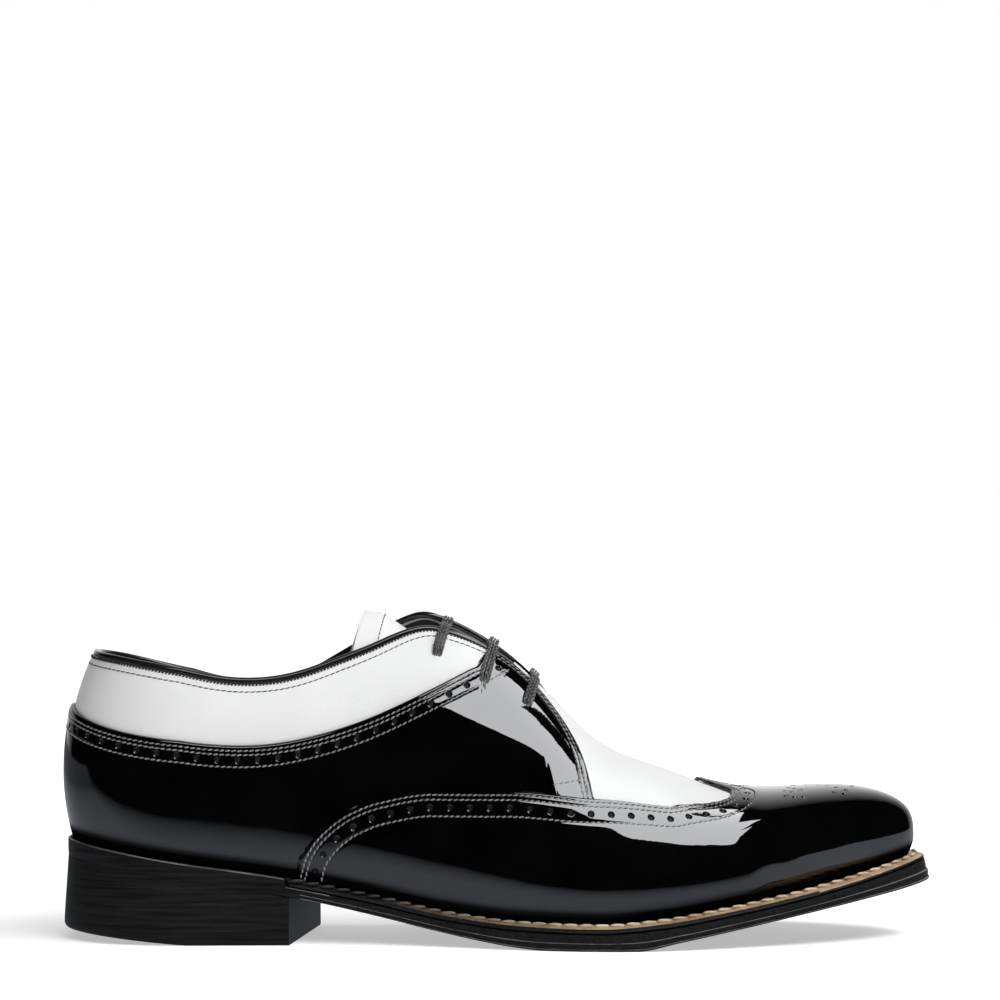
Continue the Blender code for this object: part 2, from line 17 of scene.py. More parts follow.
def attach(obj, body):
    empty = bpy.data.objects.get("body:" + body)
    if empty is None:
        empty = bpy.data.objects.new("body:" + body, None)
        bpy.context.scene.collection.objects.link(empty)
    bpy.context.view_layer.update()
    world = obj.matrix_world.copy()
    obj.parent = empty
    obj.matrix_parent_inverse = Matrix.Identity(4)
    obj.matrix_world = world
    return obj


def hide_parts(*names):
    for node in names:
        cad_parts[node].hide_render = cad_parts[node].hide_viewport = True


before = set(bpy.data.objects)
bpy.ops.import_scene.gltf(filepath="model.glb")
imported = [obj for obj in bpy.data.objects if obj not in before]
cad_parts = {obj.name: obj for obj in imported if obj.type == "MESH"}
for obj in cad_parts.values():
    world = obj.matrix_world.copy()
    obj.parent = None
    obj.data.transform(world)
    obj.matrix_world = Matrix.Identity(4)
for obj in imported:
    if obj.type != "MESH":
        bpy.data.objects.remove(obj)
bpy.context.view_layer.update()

# Driving dimensions of the last and the sole
MM = 0.001
SOLE_TIP = 150.5
SOLE_BACK = -149.1
TOE_START = 100.0
HEEL_AXIS = -108.0
HEEL_END = -150.0
TOE_PLAN_POWER = 2.25
TOE_CREST_POWER = 3.3
HEEL_PLAN_POWER = 2.15
WALL = 1.8
OVERLAY = 0.9
SEAM = 0.6
GAP = 0.4
WELT_THICK = 2.4
WELT_SLOPE = 1.2
WELT_EDGE = 0.45
WELT_ROUND = 0.4
HEEL_SEAM = 0.1
WELT_CLEAR = 0.3
WELT_TAN = 0.87
INSOLE_RISE = 2.2
INSOLE_CLEAR = 0.6
TONGUE_THICK = 1.8
BINDING_RADIUS = 1.0
BINDING_SEAT = 0.6
BINDING_FULL = 1.15
BINDING_SIDES = 12
WELD = 0.00001
PROBE = 0.2
TURN_PROBE = 0.01
RIM_PROBE = 0.03
LEVEL_PROBE = 0.01
LEVEL_PROBE_LEAST = 0.001
RUN_PROBE = 0.5
TIP_CLEAR = 0.01
SETTLE_ROUNDS = 4
TINY = 1e-9
LATERAL = -1
MEDIAL = 1

# Sections of the last across the foot, heel to toe.
# axis: ridge line in plan; lateral, medial: sole half widths from it; inset: sole edge to girth
# tuck: girth to foot edge; foot, girth, ridge: heights; power: squareness of the arch
SECTION_COLUMNS = ("x", "axis", "lateral", "medial", "inset", "tuck_lateral", "tuck_medial",
                   "foot", "girth", "ridge", "power")
SECTIONS = (
    (-150.0, 0.0, 32.5, 32.5, 0.0, 3.2, 3.2, 35.3, 57.5, 122.5, 2.00),
    (-108.0, 0.0, 32.5, 32.5, 1.0, 3.2, 3.4, 28.2, 52.0, 122.5, 2.00),
    (-77.0, 1.0, 32.8, 30.5, 1.5, 3.2, 4.5, 23.8, 46.0, 116.0, 2.00),
    (-46.0, 2.0, 34.8, 27.5, 2.8, 3.4, 6.0, 17.9, 38.0, 115.5, 2.10),
    (-16.0, 3.0, 42.0, 30.5, 4.4, 3.2, 5.0, 11.8, 30.0, 110.0, 2.20),
    (8.0, 3.4, 49.5, 38.0, 5.4, 2.8, 3.6, 9.3, 24.0, 94.8, 2.20),
    (34.0, 3.6, 54.6, 45.6, 6.0, 2.5, 2.6, 8.7, 21.0, 68.0, 2.20),
    (56.0, 3.6, 53.6, 47.4, 6.0, 2.4, 2.4, 10.4, 21.5, 58.2, 2.25),
    (76.0, 3.4, 49.0, 44.8, 6.2, 2.3, 2.3, 13.5, 23.5, 51.3, 2.30),
    (100.0, 3.0, 41.0, 38.0, 6.4, 2.2, 2.2, 18.0, 27.0, 49.8, 2.35),
    (120.0, 2.7, 34.9, 33.0, 6.6, 2.1, 2.1, 22.6, 30.0, 50.9, 2.38),
    (150.5, 2.4, 27.0, 27.0, 7.1, 2.0, 2.0, 30.4, 34.6, 50.4, 2.40),
)

# Underside of the outsole, flat under the ball
TREAD_COLUMNS = ("x", "z")
TREAD = (
    (-150.0, 28.9),
    (-108.0, 22.3),
    (-66.0, 15.2),
    (-40.0, 9.6),
    (-19.0, 5.1),
    (-6.0, 2.6),
    (6.0, 0.8),
    (16.0, 0.0),
    (47.0, 0.0),
    (61.0, 2.6),
    (88.0, 7.8),
    (116.0, 13.3),
    (150.5, 19.7),
)

# Collar height along each side, from the heel's back almost to the top of the facings
TOPLINE_COLUMNS = ("x", "lateral", "medial")
TOPLINE = (
    (-150.0, 97.2, 97.2),
    (-130.0, 95.6, 95.0),
    (-112.0, 92.4, 90.2),
    (-95.0, 88.8, 85.8),
    (-80.0, 88.2, 85.4),
    (-68.0, 90.2, 88.0),
    (-55.0, 94.7, 95.0),
    (-41.0, 100.3, 103.3),
    (-32.0, 104.3, 108.2),
)

# Throat slot in the white wall: distance of each edge from the ridge line
THROAT_COLUMNS = ("x", "lateral", "medial")
THROAT = (
    (-25.0, 15.2, 5.9),
    (-6.0, 15.6, 8.9),
    (6.0, 15.4, 9.6),
    (13.0, 13.4, 9.2),
    (17.5, 9.6, 7.4),
    (19.8, 5.0, 4.2),
    (20.6, 0.0, 0.0),
)
FACING_TOP = -25.0
CORNER_REACH = 8.0
CORNER_RISE = 3.0
CORNER_ROUND = 2.5
THROAT_BEND = 6.0
THROAT_FRONT = 20.6

# Top edge of the black quarter behind the facing, as heights on the side wall
QUARTER_COLUMNS = ("x", "height")
QUARTER = (
    (-150.0, 80.6),
    (-136.0, 76.6),
    (-118.0, 71.4),
    (-98.0, 68.2),
    (-80.0, 67.9),
    (-60.0, 71.4),
    (-42.0, 77.4),
    (-24.0, 85.7),
    (-8.0, 93.6),
)

# Front edge of the quarter down the facing and the side: distance from the ridge line
FACING_COLUMNS = ("x", "lateral", "medial")
FACING = (
    (-8.0, 15.9, 9.5),
    (6.0, 15.7, 9.9),
    (14.0, 17.0, 11.0),
    (21.0, 20.5, 14.5),
    (26.0, 26.0, 20.0),
    (29.6, 33.0, 27.0),
    (31.8, 39.5, 33.5),
    (33.0, 41.5, 35.5),
)
QUARTER_CORNER_BACK = -7.5
QUARTER_CORNER_FRONT = -2.5
QUARTER_FRONT = 33.0

# Top edge of the wing cap along the side, as heights on the wall
WING_SIDE_COLUMNS = ("x", "height")
WING_SIDE = (
    (-68.5, 22.3),
    (-66.0, 30.5),
    (-59.5, 39.2),
    (-51.0, 45.4),
    (-40.0, 49.6),
    (-21.0, 52.6),
    (4.0, 52.6),
    (34.0, 49.0),
    (58.0, 46.6),
)
# Top edge of the wing cap over the vamp, from the side up to the peak on the ridge
WING_TOP_COLUMNS = ("level", "x")
WING_TOP = (
    (0.525, 65.5),
    (0.58, 71.8),
    (0.655, 77.0),
    (0.745, 80.0),
    (0.83, 80.4),
    (0.90, 77.6),
    (0.95, 73.8),
    (1.0, 68.5),
)
WING_BACK = -68.5
WING_SHOULDER = 58.0
WING_LIFT_START = 33.0
WING_LIFT_END = 62.0
WING_ALIGN = 96.0

# Spacing of stations along the foot, and counts of stations round the toe
FACING_SPACING = 0.45
THROAT_SPACING = 1.2
THROAT_ROUND_SPACING = 0.5
CORNER_SPACING = 0.35
SIDE_SPACING = 2.0
HEEL_SPACING = 1.6
RIM_SPACING = 1.5
RIM_CORNER_SPACING = 0.75
RIM_CORNER = 3.0
BAND_SPACING = 1.0
SOLE_SPACING = 2.5
SEAT_SPACING = 3.0
UPPER_TOE = 24
SOLE_TOE = 30
WELT_TOE = 34
# The wing's edge and ribs stand closer together in its steep turn at the back
WING_EDGE_TURN = -56.0
WING_EDGE_SPACING = (0.35, 1.0)
WING_EDGE_FRONT = 90
WING_RIB_TURN = -57.0
WING_RIB_EASE = -46.0
WING_RIB_SPACING = (0.45, 0.9, 2.0)
WING_NEAR = 24
WING_NEAR_CLOSE = 1.2
# Ribs: samples for measuring, and how much longer than its edge rows a rib has to be to keep them whole
RIB_SAMPLES = 60
RIB_SPARE = 1.3
# Depth of a panel's close rows below its edge, and their distance
QUARTER_CLOSE = 11.0
WING_CLOSE = 10.6
CLOSE_ROWS = 0.42
# Share of its distance that an inset walk has to keep from the edge
INSET_KEPT = 0.96

# Side profile of the sole edge: share of the height, growth beyond the outline in front and at the seat
SOLE_EDGE = (
    (0.0, -1.2, -0.5),
    (0.02, -0.6, -0.42),
    (0.05, -0.2, -0.4),
    (0.09, 0.0, -0.38),
    (0.105, 0.0, -0.37),
    (0.145, -0.35, -0.36),
    (0.16, -0.36, -0.35),
    (0.3, -0.14, -0.3),
    (0.45, 0.0, -0.28),
    (0.47, 0.0, -0.28),
    (0.51, -0.38, -0.28),
    (0.525, -0.4, -0.28),
    (0.93, -0.4, -0.3),
    (1.0, -0.4, -0.95),
)
# Profiles of heel and insole: share of the height and growth beyond the outline
HEEL_EDGE = ((0.0, 0.2), (0.02, 0.7), (0.05, 1.0), (0.26, 0.75), (0.275, 0.71), (0.285, 0.7), (0.295, 0.71),
             (0.5, 0.38), (0.75, -0.02), (0.98, -0.38), (1.0, -0.42))
INSOLE_EDGE = ((0.0, 0.0), (0.7, 0.0), (0.9, -0.3), (1.0, -1.0))
# Outer corner of the welt from its top slope down: growth from its edge and height from the slope's foot
WELT_CORNER = ((-1.1, 0.25), (-0.35, -0.2), (0.0, -0.8))
# How far up a face looks, least and most, to count as a ledge with a painted highlight
LEDGE_FACING = (0.35, 0.93)
WAIST_BEVEL = 3.0
WAIST_BEVEL_SHARE = 0.1
WAIST_MIDDLE = -52.0
WAIST_REACH = 24.0
SEAT_STEP_BACK = -72.2
SEAT_STEP_FRONT = -71.8
HEEL_BREAST_LATERAL = -70.5
HEEL_BREAST_MEDIAL = -62.8
HEEL_BEVEL_START = -106.0
HEEL_BEVEL = 3.8
WELT_END = -70.5

# Tongue and laces
# sag: how far its middle hangs below the facings' surface
TONGUE_COLUMNS = ("x", "lateral", "medial", "sag")
TONGUE = (
    (-46.0, 25.0, 17.0, 0.4),
    (-40.0, 26.0, 17.5, 0.9),
    (-34.0, 27.0, 18.0, 3.6),
    (-25.0, 27.0, 18.5, 7.5),
    (-12.0, 25.5, 18.5, 5.4),
    (0.0, 24.0, 18.0, 3.0),
    (29.0, 17.0, 15.0, 0.0),
)
TONGUE_CLEAR = 0.8
TONGUE_SLANT = 6.0
TONGUE_SOFT = 0.5
SOFT_ANGLE = 60
# Lace bars: eyelet position along the foot, reach from the ridge line to each side
# seat: surface lift it lies on; lean: how far forward its middle runs; dip: hang between the facings
LACE_COLUMNS = ("x", "lateral", "medial", "seat", "lean", "dip")
LACES = (
    (-20.9, 22.9, 17.0, 0.6, 4.2, 4.2),
    (-5.1, 28.4, 19.0, 1.5, 4.2, 4.4),
    (9.2, 29.4, 20.0, 1.5, 3.4, 2.2),
)
BEAD_WIDTH = 0.5
LACE_HALF_WIDTH = 1.6
LACE_HALF_THICK = 0.36
LACE_STRANDS = 10
STRAND_RADIUS = 0.35
STRAND_SWELL = 0.22
# Swell below which a strand takes the darker copy of the lace as painted shade; the crests above it take the
# lighter copy as painted highlight
STRAND_SHADE = 0.3
STRAND_SIDES = 6
LACE_POINTS = 150
LACE_NARROW = 0.35
LACE_SEAT = 0.1
BRAID_PITCH = 2.0
LACE_DIVE = 3.4
LACE_DIVE_START = 0.88
TIP_LEAN = 1.5
TIP_LEAN_START = 118.0

# Seams: distance of stitch rows and punched holes from the edge of their panel
QUARTER_STITCHES = (2.0, 3.4)
BAND_STITCH = 8.9
QUARTER_HOLES = 6.2
# The quarter's third row and its holes run on across the facing at the top edge's own slope
BAND_SLANT = 0.83
BAND_RISE = 0.49
BAND_FRONT = 12.0
BAND_CLEAR = 4.3
HOLE_CLEAR = 7.6
WING_STITCHES = (1.5, 3.1, 8.6)
WING_HOLES = 5.8
WING_MARGIN = 4.0
COLLAR_STITCH = 2.6
BEAD_TEETH = 0.2
HOLE_PITCH = 6.85
HOLE_RADIUS = 1.05
PIT_DEPTH = 0.55
PIT_FLOOR = 0.72
PIT_RIM = 1.12
PIT_REACH = 1.6
PIT_SKIN = 6.5
PIT_DARK = PIT_FLOOR + 0.05
# Refining round the pits, pass by pass: reach in hole radii, cuts, and the longest edge left whole
PIT_REFINE = (
    (PIT_RIM + 1.9, 3, 0.8),
    (PIT_RIM + 0.4, 1, 0.25),
    (PIT_RIM + 0.2, 1, 0.25),
)
# Toe medallion: holes as station, distance from the ridge line and size
MEDALLION = (
    (103.5, 0.0, 0.9),
    (108.5, 0.0, 0.6),
    (101.3, 5.5, 0.6),
    (103.2, 8.4, 0.7),
    (105.2, 10.8, 0.6),
    (99.4, 11.2, 0.6),
    (101.8, 13.0, 0.65),
    (99.2, 17.0, 0.7),
    (102.4, 18.2, 0.75),
    (106.0, 18.0, 0.7),
    (113.2, 3.6, 0.6),
    (116.6, 5.6, 0.6),
    (119.8, 8.6, 0.65),
    (123.4, 11.4, 0.7),
    (118.4, 14.2, 0.7),
    (122.2, 15.2, 0.75),
    (127.0, 0.0, 0.8),
    (126.4, 5.4, 0.6),
)
# Stitch rows: pitch, length, radius and slant
PANEL_ROW = (2.0, 1.8, 0.3, 0.22)
COLLAR_ROW = (2.0, 1.95, 0.22, 0.12)
TEETH_ROW = (1.2, 1.1, 0.36, 0.6)
TONGUE_ROW = (2.0, 1.9, 0.22, 0.05)
WELT_ROW = (5.3, 5.2, 0.65, 0.04)
WELT_STITCH_OUT = 1.0
STITCH_LIFT = 0.1
TONGUE_STITCH_POINTS = 20
# Corner of the quarter's front: a short row of its own, as station and height
STAY = ((27.6, 63.0), (27.4, 59.0), (27.2, 55.5), (22.5, 54.9), (18.0, 54.5))
TONGUE_STITCH = 0.1
EDGE_ROLL = 1.0
EDGE_DROP = 1.4
GROOVE_DEPTH = 0.12
GROOVE_WIDTH = 0.5
BAND_PUFF = 0.04
# Heights of the patent leather's slow waves and fine pebble, in metres
WAVE_HEIGHT = 0.00016
PEBBLE_HEIGHT = 0.000005
# Heights of plain grain, and of the coarser welt and sole edge
GRAIN_HEIGHT = 0.0003
COARSE_HEIGHT = 0.0004
# Stretches along the foot, in metres, over which the welt turns tan and the sole's edge gains its speckle
WELT_DARK_STRETCH = (-0.04, 0.03)
SPECKLE_STRETCH = (-0.06, -0.02)
SEAT_SPECKLE = 0.1
# Broad bends of the patent panels that turn their highlights, in metres
TOE_BEND_START = 0.086
TOE_BEND_SOFT = 0.008
TOE_BEND_SLOPE = 0.42
TOE_BEND_END = 0.13
TOE_BEND_FADE = 0.02
FLANK_LINE = 0.0722
FLANK_SLANT = 0.411
FLANK_SLOPE = 0.15
FLANK_SOFT = 0.002
FLANK_REACH = 0.022
FLANK_END = 0.017
FLANK_CLOSE = 4.0
# Heights above the foot of the upper between which the patent gloss sets in; below them the patent is a matt
# dark painted shade
SHADE_STRIP_HEIGHTS = (2.8, 5.6)

# Camera of the photograph
CAMERA_PLACE = (0.001, -1.285, 0.151)
CAMERA_LENS = 133.1
SENSOR = 36.0

# Studio
# The soft light is one large card overhead, drawn by its corners; the fill is a plain lamp
CARD_HEIGHT = 1.2
CARD_GLOW = 6.5
CARD = (
    (-0.52, -1.78), (-0.30, -1.84), (-0.08, -1.70), (0.20, -1.55), (0.45, -1.40),
    (0.70, -1.52), (0.95, -1.30), (0.98, -1.00), (0.88, -0.60), (0.88, -0.30),
    (1.00, 0.05), (1.10, 0.50), (0.96, 0.22), (0.70, -0.27), (0.58, 0.05),
    (0.55, 0.60), (0.36, 0.62), (0.36, -0.15), (0.20, -0.62), (-0.38, -1.28),
)
FILL_PLACE = (0.9, -0.35, 1.0)
FILL_SIZE = 0.4
FILL_ENERGY = 2.5
FLOOR_SIZE = 3.0
FLOOR_GLOW = 0.46
FLOOR_FAR = (0.1, 0.6)
FLOOR_DARK = -0.185
FLOOR_PALE = -0.09
FLOOR_LEFT = (-0.6, -0.22)
FLOOR_LEFT_SHARE = 0.3
FLOOR_MIRRORED = (0.50, 0.54, 0.60)
SWEEP_GLOW = 1.0
SWEEP_STRETCH = (0.55, 0.95)


def column(table, columns, name, steady=False):
    """Smooth curve through one named column of a table, as a function of its first column."""
    xs = [row[0] for row in table]
    ys = [row[columns.index(name)] for row in table]
    steps = [b - a for a, b in zip(xs, xs[1:])]
    slopes = [(b - a) / step for a, b, step in zip(ys, ys[1:], steps)]
    tangents = steady_tangents(slopes) if steady else spline_tangents(steps, slopes)

    def value(x):
        x = min(max(x, xs[0]), xs[-1])
        i = min(max(bisect_right(xs, x) - 1, 0), len(steps) - 1)
        t = (x - xs[i]) / steps[i]
        start = (1 + 2 * t) * (1 - t) ** 2 * ys[i] + t * (1 - t) ** 2 * steps[i] * tangents[i]
        end = t * t * (3 - 2 * t) * ys[i + 1] + t * t * (t - 1) * steps[i] * tangents[i + 1]
        return start + end

    return value


def steady_tangents(slopes):
    """Tangents that never overshoot the rows, so equal rows give a flat."""
    inner = []
    for before, after in zip(slopes[:-1], slopes[1:]):
        inner.append(0.0 if before * after <= 0 else 2 * before * after / (before + after))
    return [slopes[0], *inner, slopes[-1]]


def spline_tangents(steps, slopes):
    """Tangents of the natural cubic spline, which keeps the curvature continuous."""
    count = len(steps) + 1
    system = np.zeros((count, count))
    right = np.zeros(count)
    system[0, :2] = 2, 1
    system[-1, -2:] = 1, 2
    right[0] = 3 * slopes[0]
    right[-1] = 3 * slopes[-1]
    for i in range(1, count - 1):
        system[i, i - 1:i + 2] = 1 / steps[i - 1], 2 / steps[i - 1] + 2 / steps[i], 1 / steps[i]
        right[i] = 3 * (slopes[i - 1] / steps[i - 1] + slopes[i] / steps[i])
    return [float(value) for value in np.linalg.solve(system, right)]


def section(name):
    return column(SECTIONS, SECTION_COLUMNS, name)


def by_side(table, columns, steady=True):
    """One smooth curve for each side of the foot."""
    return {side: column(table, columns, name, steady)
            for side, name in ((LATERAL, "lateral"), (MEDIAL, "medial"))}


axis = section("axis")
inset = section("inset")
girth = section("girth")
ridge = section("ridge")
power = section("power")
foot = column(SECTIONS, SECTION_COLUMNS, "foot", steady=True)
half_width = by_side(SECTIONS, SECTION_COLUMNS, steady=False)
tuck = {LATERAL: section("tuck_lateral"), MEDIAL: section("tuck_medial")}
throat = by_side(THROAT, THROAT_COLUMNS)
tread = column(TREAD, TREAD_COLUMNS, "z", steady=True)
quarter_top = column(QUARTER, QUARTER_COLUMNS, "height")
facing_spread = by_side(FACING, FACING_COLUMNS)
wing_side = column(WING_SIDE, WING_SIDE_COLUMNS, "height", steady=True)
tongue_half = by_side(TONGUE, TONGUE_COLUMNS)
tongue_sag = column(TONGUE, TONGUE_COLUMNS, "sag", steady=True)


# The last

def toe_share(a):
    return max(0.0, (a - TOE_START) / (SOLE_TIP - TOE_START))


def outline(side, a, grow=0.0):
    """Plan point at a along the foot on one side, grown outwards from the sole's edge."""
    if a > TOE_START:
        share = min(1.0, toe_share(a))
        x = TOE_START + (SOLE_TIP + grow - TOE_START) * share
        closing = (1 - share ** TOE_PLAN_POWER) ** (1 / TOE_PLAN_POWER)
        return x, axis(a) + side * (half_width[side](a) + grow) * closing
    if a < HEEL_AXIS:
        turn = (HEEL_AXIS - a) / (HEEL_AXIS - HEEL_END) * math.pi / 2
        bend = 2 / HEEL_PLAN_POWER
        x = HEEL_AXIS - (HEEL_AXIS - SOLE_BACK + grow) * math.sin(turn) ** bend
        across = (half_width[side](HEEL_AXIS) + grow) * max(0.0, math.cos(turn)) ** bend
        return x, axis(HEEL_AXIS) + side * across
    return a, axis(a) + side * (half_width[side](a) + grow)


def crest(a):
    """Height of the ridge, closed down to the girth line at the toe's tip."""
    share = min(1.0, toe_share(a))
    closing = (1 - share ** TOE_CREST_POWER) ** (1 / TOE_CREST_POWER)
    low = girth(a)
    return low + (ridge(max(a, HEEL_AXIS)) - low) * closing


def bare_skin(side, a, level):
    """Point of the last: level -1 is the foot edge, 0 the girth line and 1 the ridge."""
    if level < 0:
        x, y = outline(side, a, -inset(a) - tuck[side](a) * level * level)
        return Vector((x, y, girth(a) + level * (girth(a) - foot(x))))
    x, y = outline(side, a, -inset(a))
    turn = level * math.pi / 2
    bend = 2 / power(a)
    reach = max(0.0, math.cos(turn)) ** bend
    rise = math.sin(turn) ** bend
    spine_x = max(x, HEEL_AXIS)
    spine_y = axis(max(a, HEEL_AXIS))
    z = girth(a) + (crest(a) - girth(a)) * rise
    return Vector((spine_x + (x - spine_x) * reach, spine_y + (y - spine_y) * reach, z))


def neighbours(a):
    """Stations just behind and ahead, an equal turn apart round the toe."""
    if a > TOE_START + PROBE:
        run = SOLE_TIP - TOE_START
        turn = math.acos(min(1.0, (a - TOE_START) / run))
        ahead = TOE_START + run * math.cos(max(0.0, turn - TURN_PROBE))
        return TOE_START + run * math.cos(turn + TURN_PROBE), ahead
    return max(a - PROBE, HEEL_END), a + PROBE


def outward(side, a, level):
    """Unit normal of the last, level with the floor from the girth line down."""
    if a >= SOLE_TIP:
        return Vector((1.0, 0.0, 0.0))
    level = max(0.0, level)
    behind, ahead = neighbours(a)
    along = bare_skin(side, ahead, level) - bare_skin(side, behind, level)
    if level == 0.0:
        up = Vector((0.0, 0.0, 1.0))
    elif level == 1.0:
        up = Vector((0.0, -side, 0.0))
    else:
        step = min(LEVEL_PROBE, level, 1 - level)
        up = bare_skin(side, a, level + step) - bare_skin(side, a, level - step)
    normal = along.cross(up) * -side
    if level in (0.0, 1.0):
        normal[2 if level == 0.0 else 1] = 0.0
    if a <= HEEL_END:
        normal.y = 0.0
    return normal.normalized()


def skin(side, a, level, lift=0.0):
    """Point of the last moved out, or in, along its normal."""
    return bare_skin(side, a, level) + outward(side, a, level) * lift


def level_at_height(a, z):
    if z < girth(a):
        return max(-1.0, (z - girth(a)) / (girth(a) - foot(a)))
    rise = (z - girth(a)) / (crest(a) - girth(a))
    return math.asin(min(1.0, rise) ** (power(a) / 2)) * 2 / math.pi


def level_at_spread(side, a, spread):
    reach = spread / (half_width[side](a) - inset(a))
    return math.acos(min(1.0, max(0.0, reach)) ** (power(a) / 2)) * 2 / math.pi


def facing_corner(side):
    return bare_skin(side, FACING_TOP, level_at_spread(side, FACING_TOP, throat[side](FACING_TOP))).z


corners = (facing_corner(LATERAL), facing_corner(MEDIAL))
beyond = (FACING_TOP + CORNER_REACH, *(corner + CORNER_RISE for corner in corners))
collar_rows = (*TOPLINE, (FACING_TOP, *corners), beyond)
topline = by_side(collar_rows, TOPLINE_COLUMNS, steady=False)


def top_level(side, a):
    """Level of the white wall's top edge: ridge, throat edge, round corner or collar."""
    if a >= THROAT_FRONT:
        return 1.0
    facing = level_at_spread(side, a, throat[side](a))
    if a > FACING_TOP + CORNER_REACH:
        return facing
    collar = topline[side](a)
    if a > FACING_TOP - CORNER_REACH:
        collar = soft_min(collar, bare_skin(side, a, facing).z)
    return level_at_height(a, collar)


def soft_min(first, second):
    """Lower of two heights, rounded where they cross."""
    near = max(0.0, CORNER_ROUND - abs(first - second)) / CORNER_ROUND
    return min(first, second) - near * near * CORNER_ROUND / 4


shoulder_level = level_at_height(WING_SHOULDER, wing_side(WING_SHOULDER))
wing_rows = ((shoulder_level, WING_SHOULDER), *WING_TOP)
wing_top = column(wing_rows, WING_TOP_COLUMNS, "x", steady=True)


def quarter_level(side, a):
    """Level of the black quarter's top edge: side edge, then a corner up to the facing."""
    facing = level_at_spread(side, a, facing_spread[side](a))
    if a > QUARTER_CORNER_FRONT:
        return facing
    rising = level_at_height(a, quarter_top(a))
    return rising + (facing - rising) * blend(a, QUARTER_CORNER_BACK, QUARTER_CORNER_FRONT)


def blend(a, start, end):
    """Soft step from 0 at start to 1 at end."""
    t = min(1.0, max(0.0, (a - start) / (end - start)))
    return t * t * (3 - 2 * t)


def quarter_lift(a):
    """Outer lift of the quarter, the same at every station."""
    return SEAM + OVERLAY


def wing_lift(a):
    """Outer lift of the wing cap: over the quarter at the back, down on the vamp in front."""
    over = 2 * (SEAM + OVERLAY)
    return over - (SEAM + OVERLAY) * blend(a, WING_LIFT_START, WING_LIFT_END)


# Stations along the foot, toe to heel

def toe_stations(count):
    """Stations round the toe, closer together towards the tip."""
    run = SOLE_TIP - TOE_START
    return [TOE_START + run * math.cos(math.pi / 2 * k / count) for k in range(count)]


def spaced(start, end, step):
    """Stations from start towards end about a step apart, without the end."""
    count = max(1, round(abs(end - start) / step))
    return [start + (end - start) * k / count for k in range(count)]


def heel_stations():
    return spaced(HEEL_AXIS, HEEL_END, HEEL_SPACING) + [HEEL_END]


def both_sides(stations):
    """Walk from the inner side's first station round the heel to the outer side's first."""
    inner = [(MEDIAL, a) for a in stations]
    outer = [(LATERAL, a) for a in reversed(stations[:-1])]
    return inner + outer


def facing_stations():
    """Stations of the quarter's edge, close together where it runs down the facing."""
    facing = spaced(QUARTER_FRONT, THROAT_BEND, FACING_SPACING)
    facing += spaced(THROAT_BEND, QUARTER_CORNER_FRONT, THROAT_SPACING)
    corner = spaced(QUARTER_CORNER_FRONT, QUARTER_CORNER_BACK, CORNER_SPACING)
    return facing + corner + spaced(QUARTER_CORNER_BACK, HEEL_AXIS, SIDE_SPACING) + heel_stations()


def rim_stations():
    """Stations of the facings and the collar, close together round the facing's top corner."""
    front, back = FACING_TOP + RIM_CORNER, FACING_TOP - RIM_CORNER
    facing = spaced(THROAT_BEND, front, RIM_SPACING) + spaced(front, back, RIM_CORNER_SPACING)
    return facing + spaced(back, HEEL_AXIS, SIDE_SPACING) + heel_stations()


# Edges of the panels as walks of (side, station, level)

def quarter_edge():
    return [(side, a, quarter_level(side, a)) for side, a in both_sides(facing_stations())]


def quarter_line(a):
    """Height of the quarter's top edge, carried straight on across the facing."""
    end, height = QUARTER[-1]
    return quarter_top(a) if a < end else height + BAND_RISE * (a - end)


def band_walk(depth, clear):
    """Walk at a depth below the quarter's top line, stopping short of the facing's edge."""
    walk = []
    for side, a in both_sides(spaced(BAND_FRONT, HEEL_AXIS, BAND_SPACING) + heel_stations()):
        level = level_at_height(a, quarter_line(a) - BAND_SLANT * depth)
        inside = level < quarter_level(side, a)
        if inside and facing_tree.find(bare_skin(side, a, level))[2] > clear:
            walk.append((side, a, level))
    return walk


def wing_half_edge(side):
    """From the back of the wing along the side and over the vamp to the ridge."""
    close, wide = WING_EDGE_SPACING
    back = spaced(WING_BACK, WING_EDGE_TURN, close) + spaced(WING_EDGE_TURN, WING_SHOULDER, wide)
    walk = [(side, a, level_at_height(a, wing_side(a))) for a in back]
    for k in range(WING_EDGE_FRONT + 1):
        level = shoulder_level + (1 - shoulder_level) * k / WING_EDGE_FRONT
        walk.append((side, wing_top(level), level))
    return walk


def wing_edge():
    return wing_half_edge(MEDIAL) + wing_half_edge(LATERAL)[::-1][1:]


def collar_edge():
    return [(side, a, top_level(side, a)) for side, a in both_sides(rim_stations())]


def nearest_on(walk):
    """Search tree over the bare points of an edge."""
    return search_tree([bare_skin(*spot) for spot in walk])


def search_tree(points):
    """Tree that finds the nearest of some points by its number."""
    tree = KDTree(len(points))
    for index, point in enumerate(points):
        tree.insert(point, index)
    tree.balance()
    return tree


def over_ridge(side, a, level):
    """The same spot named from the other side once it has passed the ridge."""
    return (-side, a, 2 - level) if level > 1 else (side, a, level)


def inset_walk(walk, distance, tree):
    """Walk that keeps a distance inside the edge, with the loops at its corners cut off."""
    points = [bare_skin(*spot) for spot in walk]
    middle = len(walk) // 2
    turn = inward(points, walk, middle)
    below = bare_skin(walk[middle][0], walk[middle][1], walk[middle][2] - RIM_PROBE) - points[middle]
    ridge_walk = walk[middle][2] >= 1.0
    if ridge_walk:
        below = Vector((1.0, 0.0, 0.0))
    sign = 1 if turn.dot(below) > 0 else -1
    inner = []
    for i, spot in enumerate(walk):
        target = points[i] + inward(points, walk, i) * sign * distance
        found = settle(spot, target)
        point = bare_skin(*found)
        if tree.find(point)[2] > distance * INSET_KEPT:
            inner.append(found)
    return inner


def inward(points, walk, i):
    along = points[min(i + 1, len(points) - 1)] - points[max(i - 1, 0)]
    return outward(*walk[i]).cross(along).normalized()


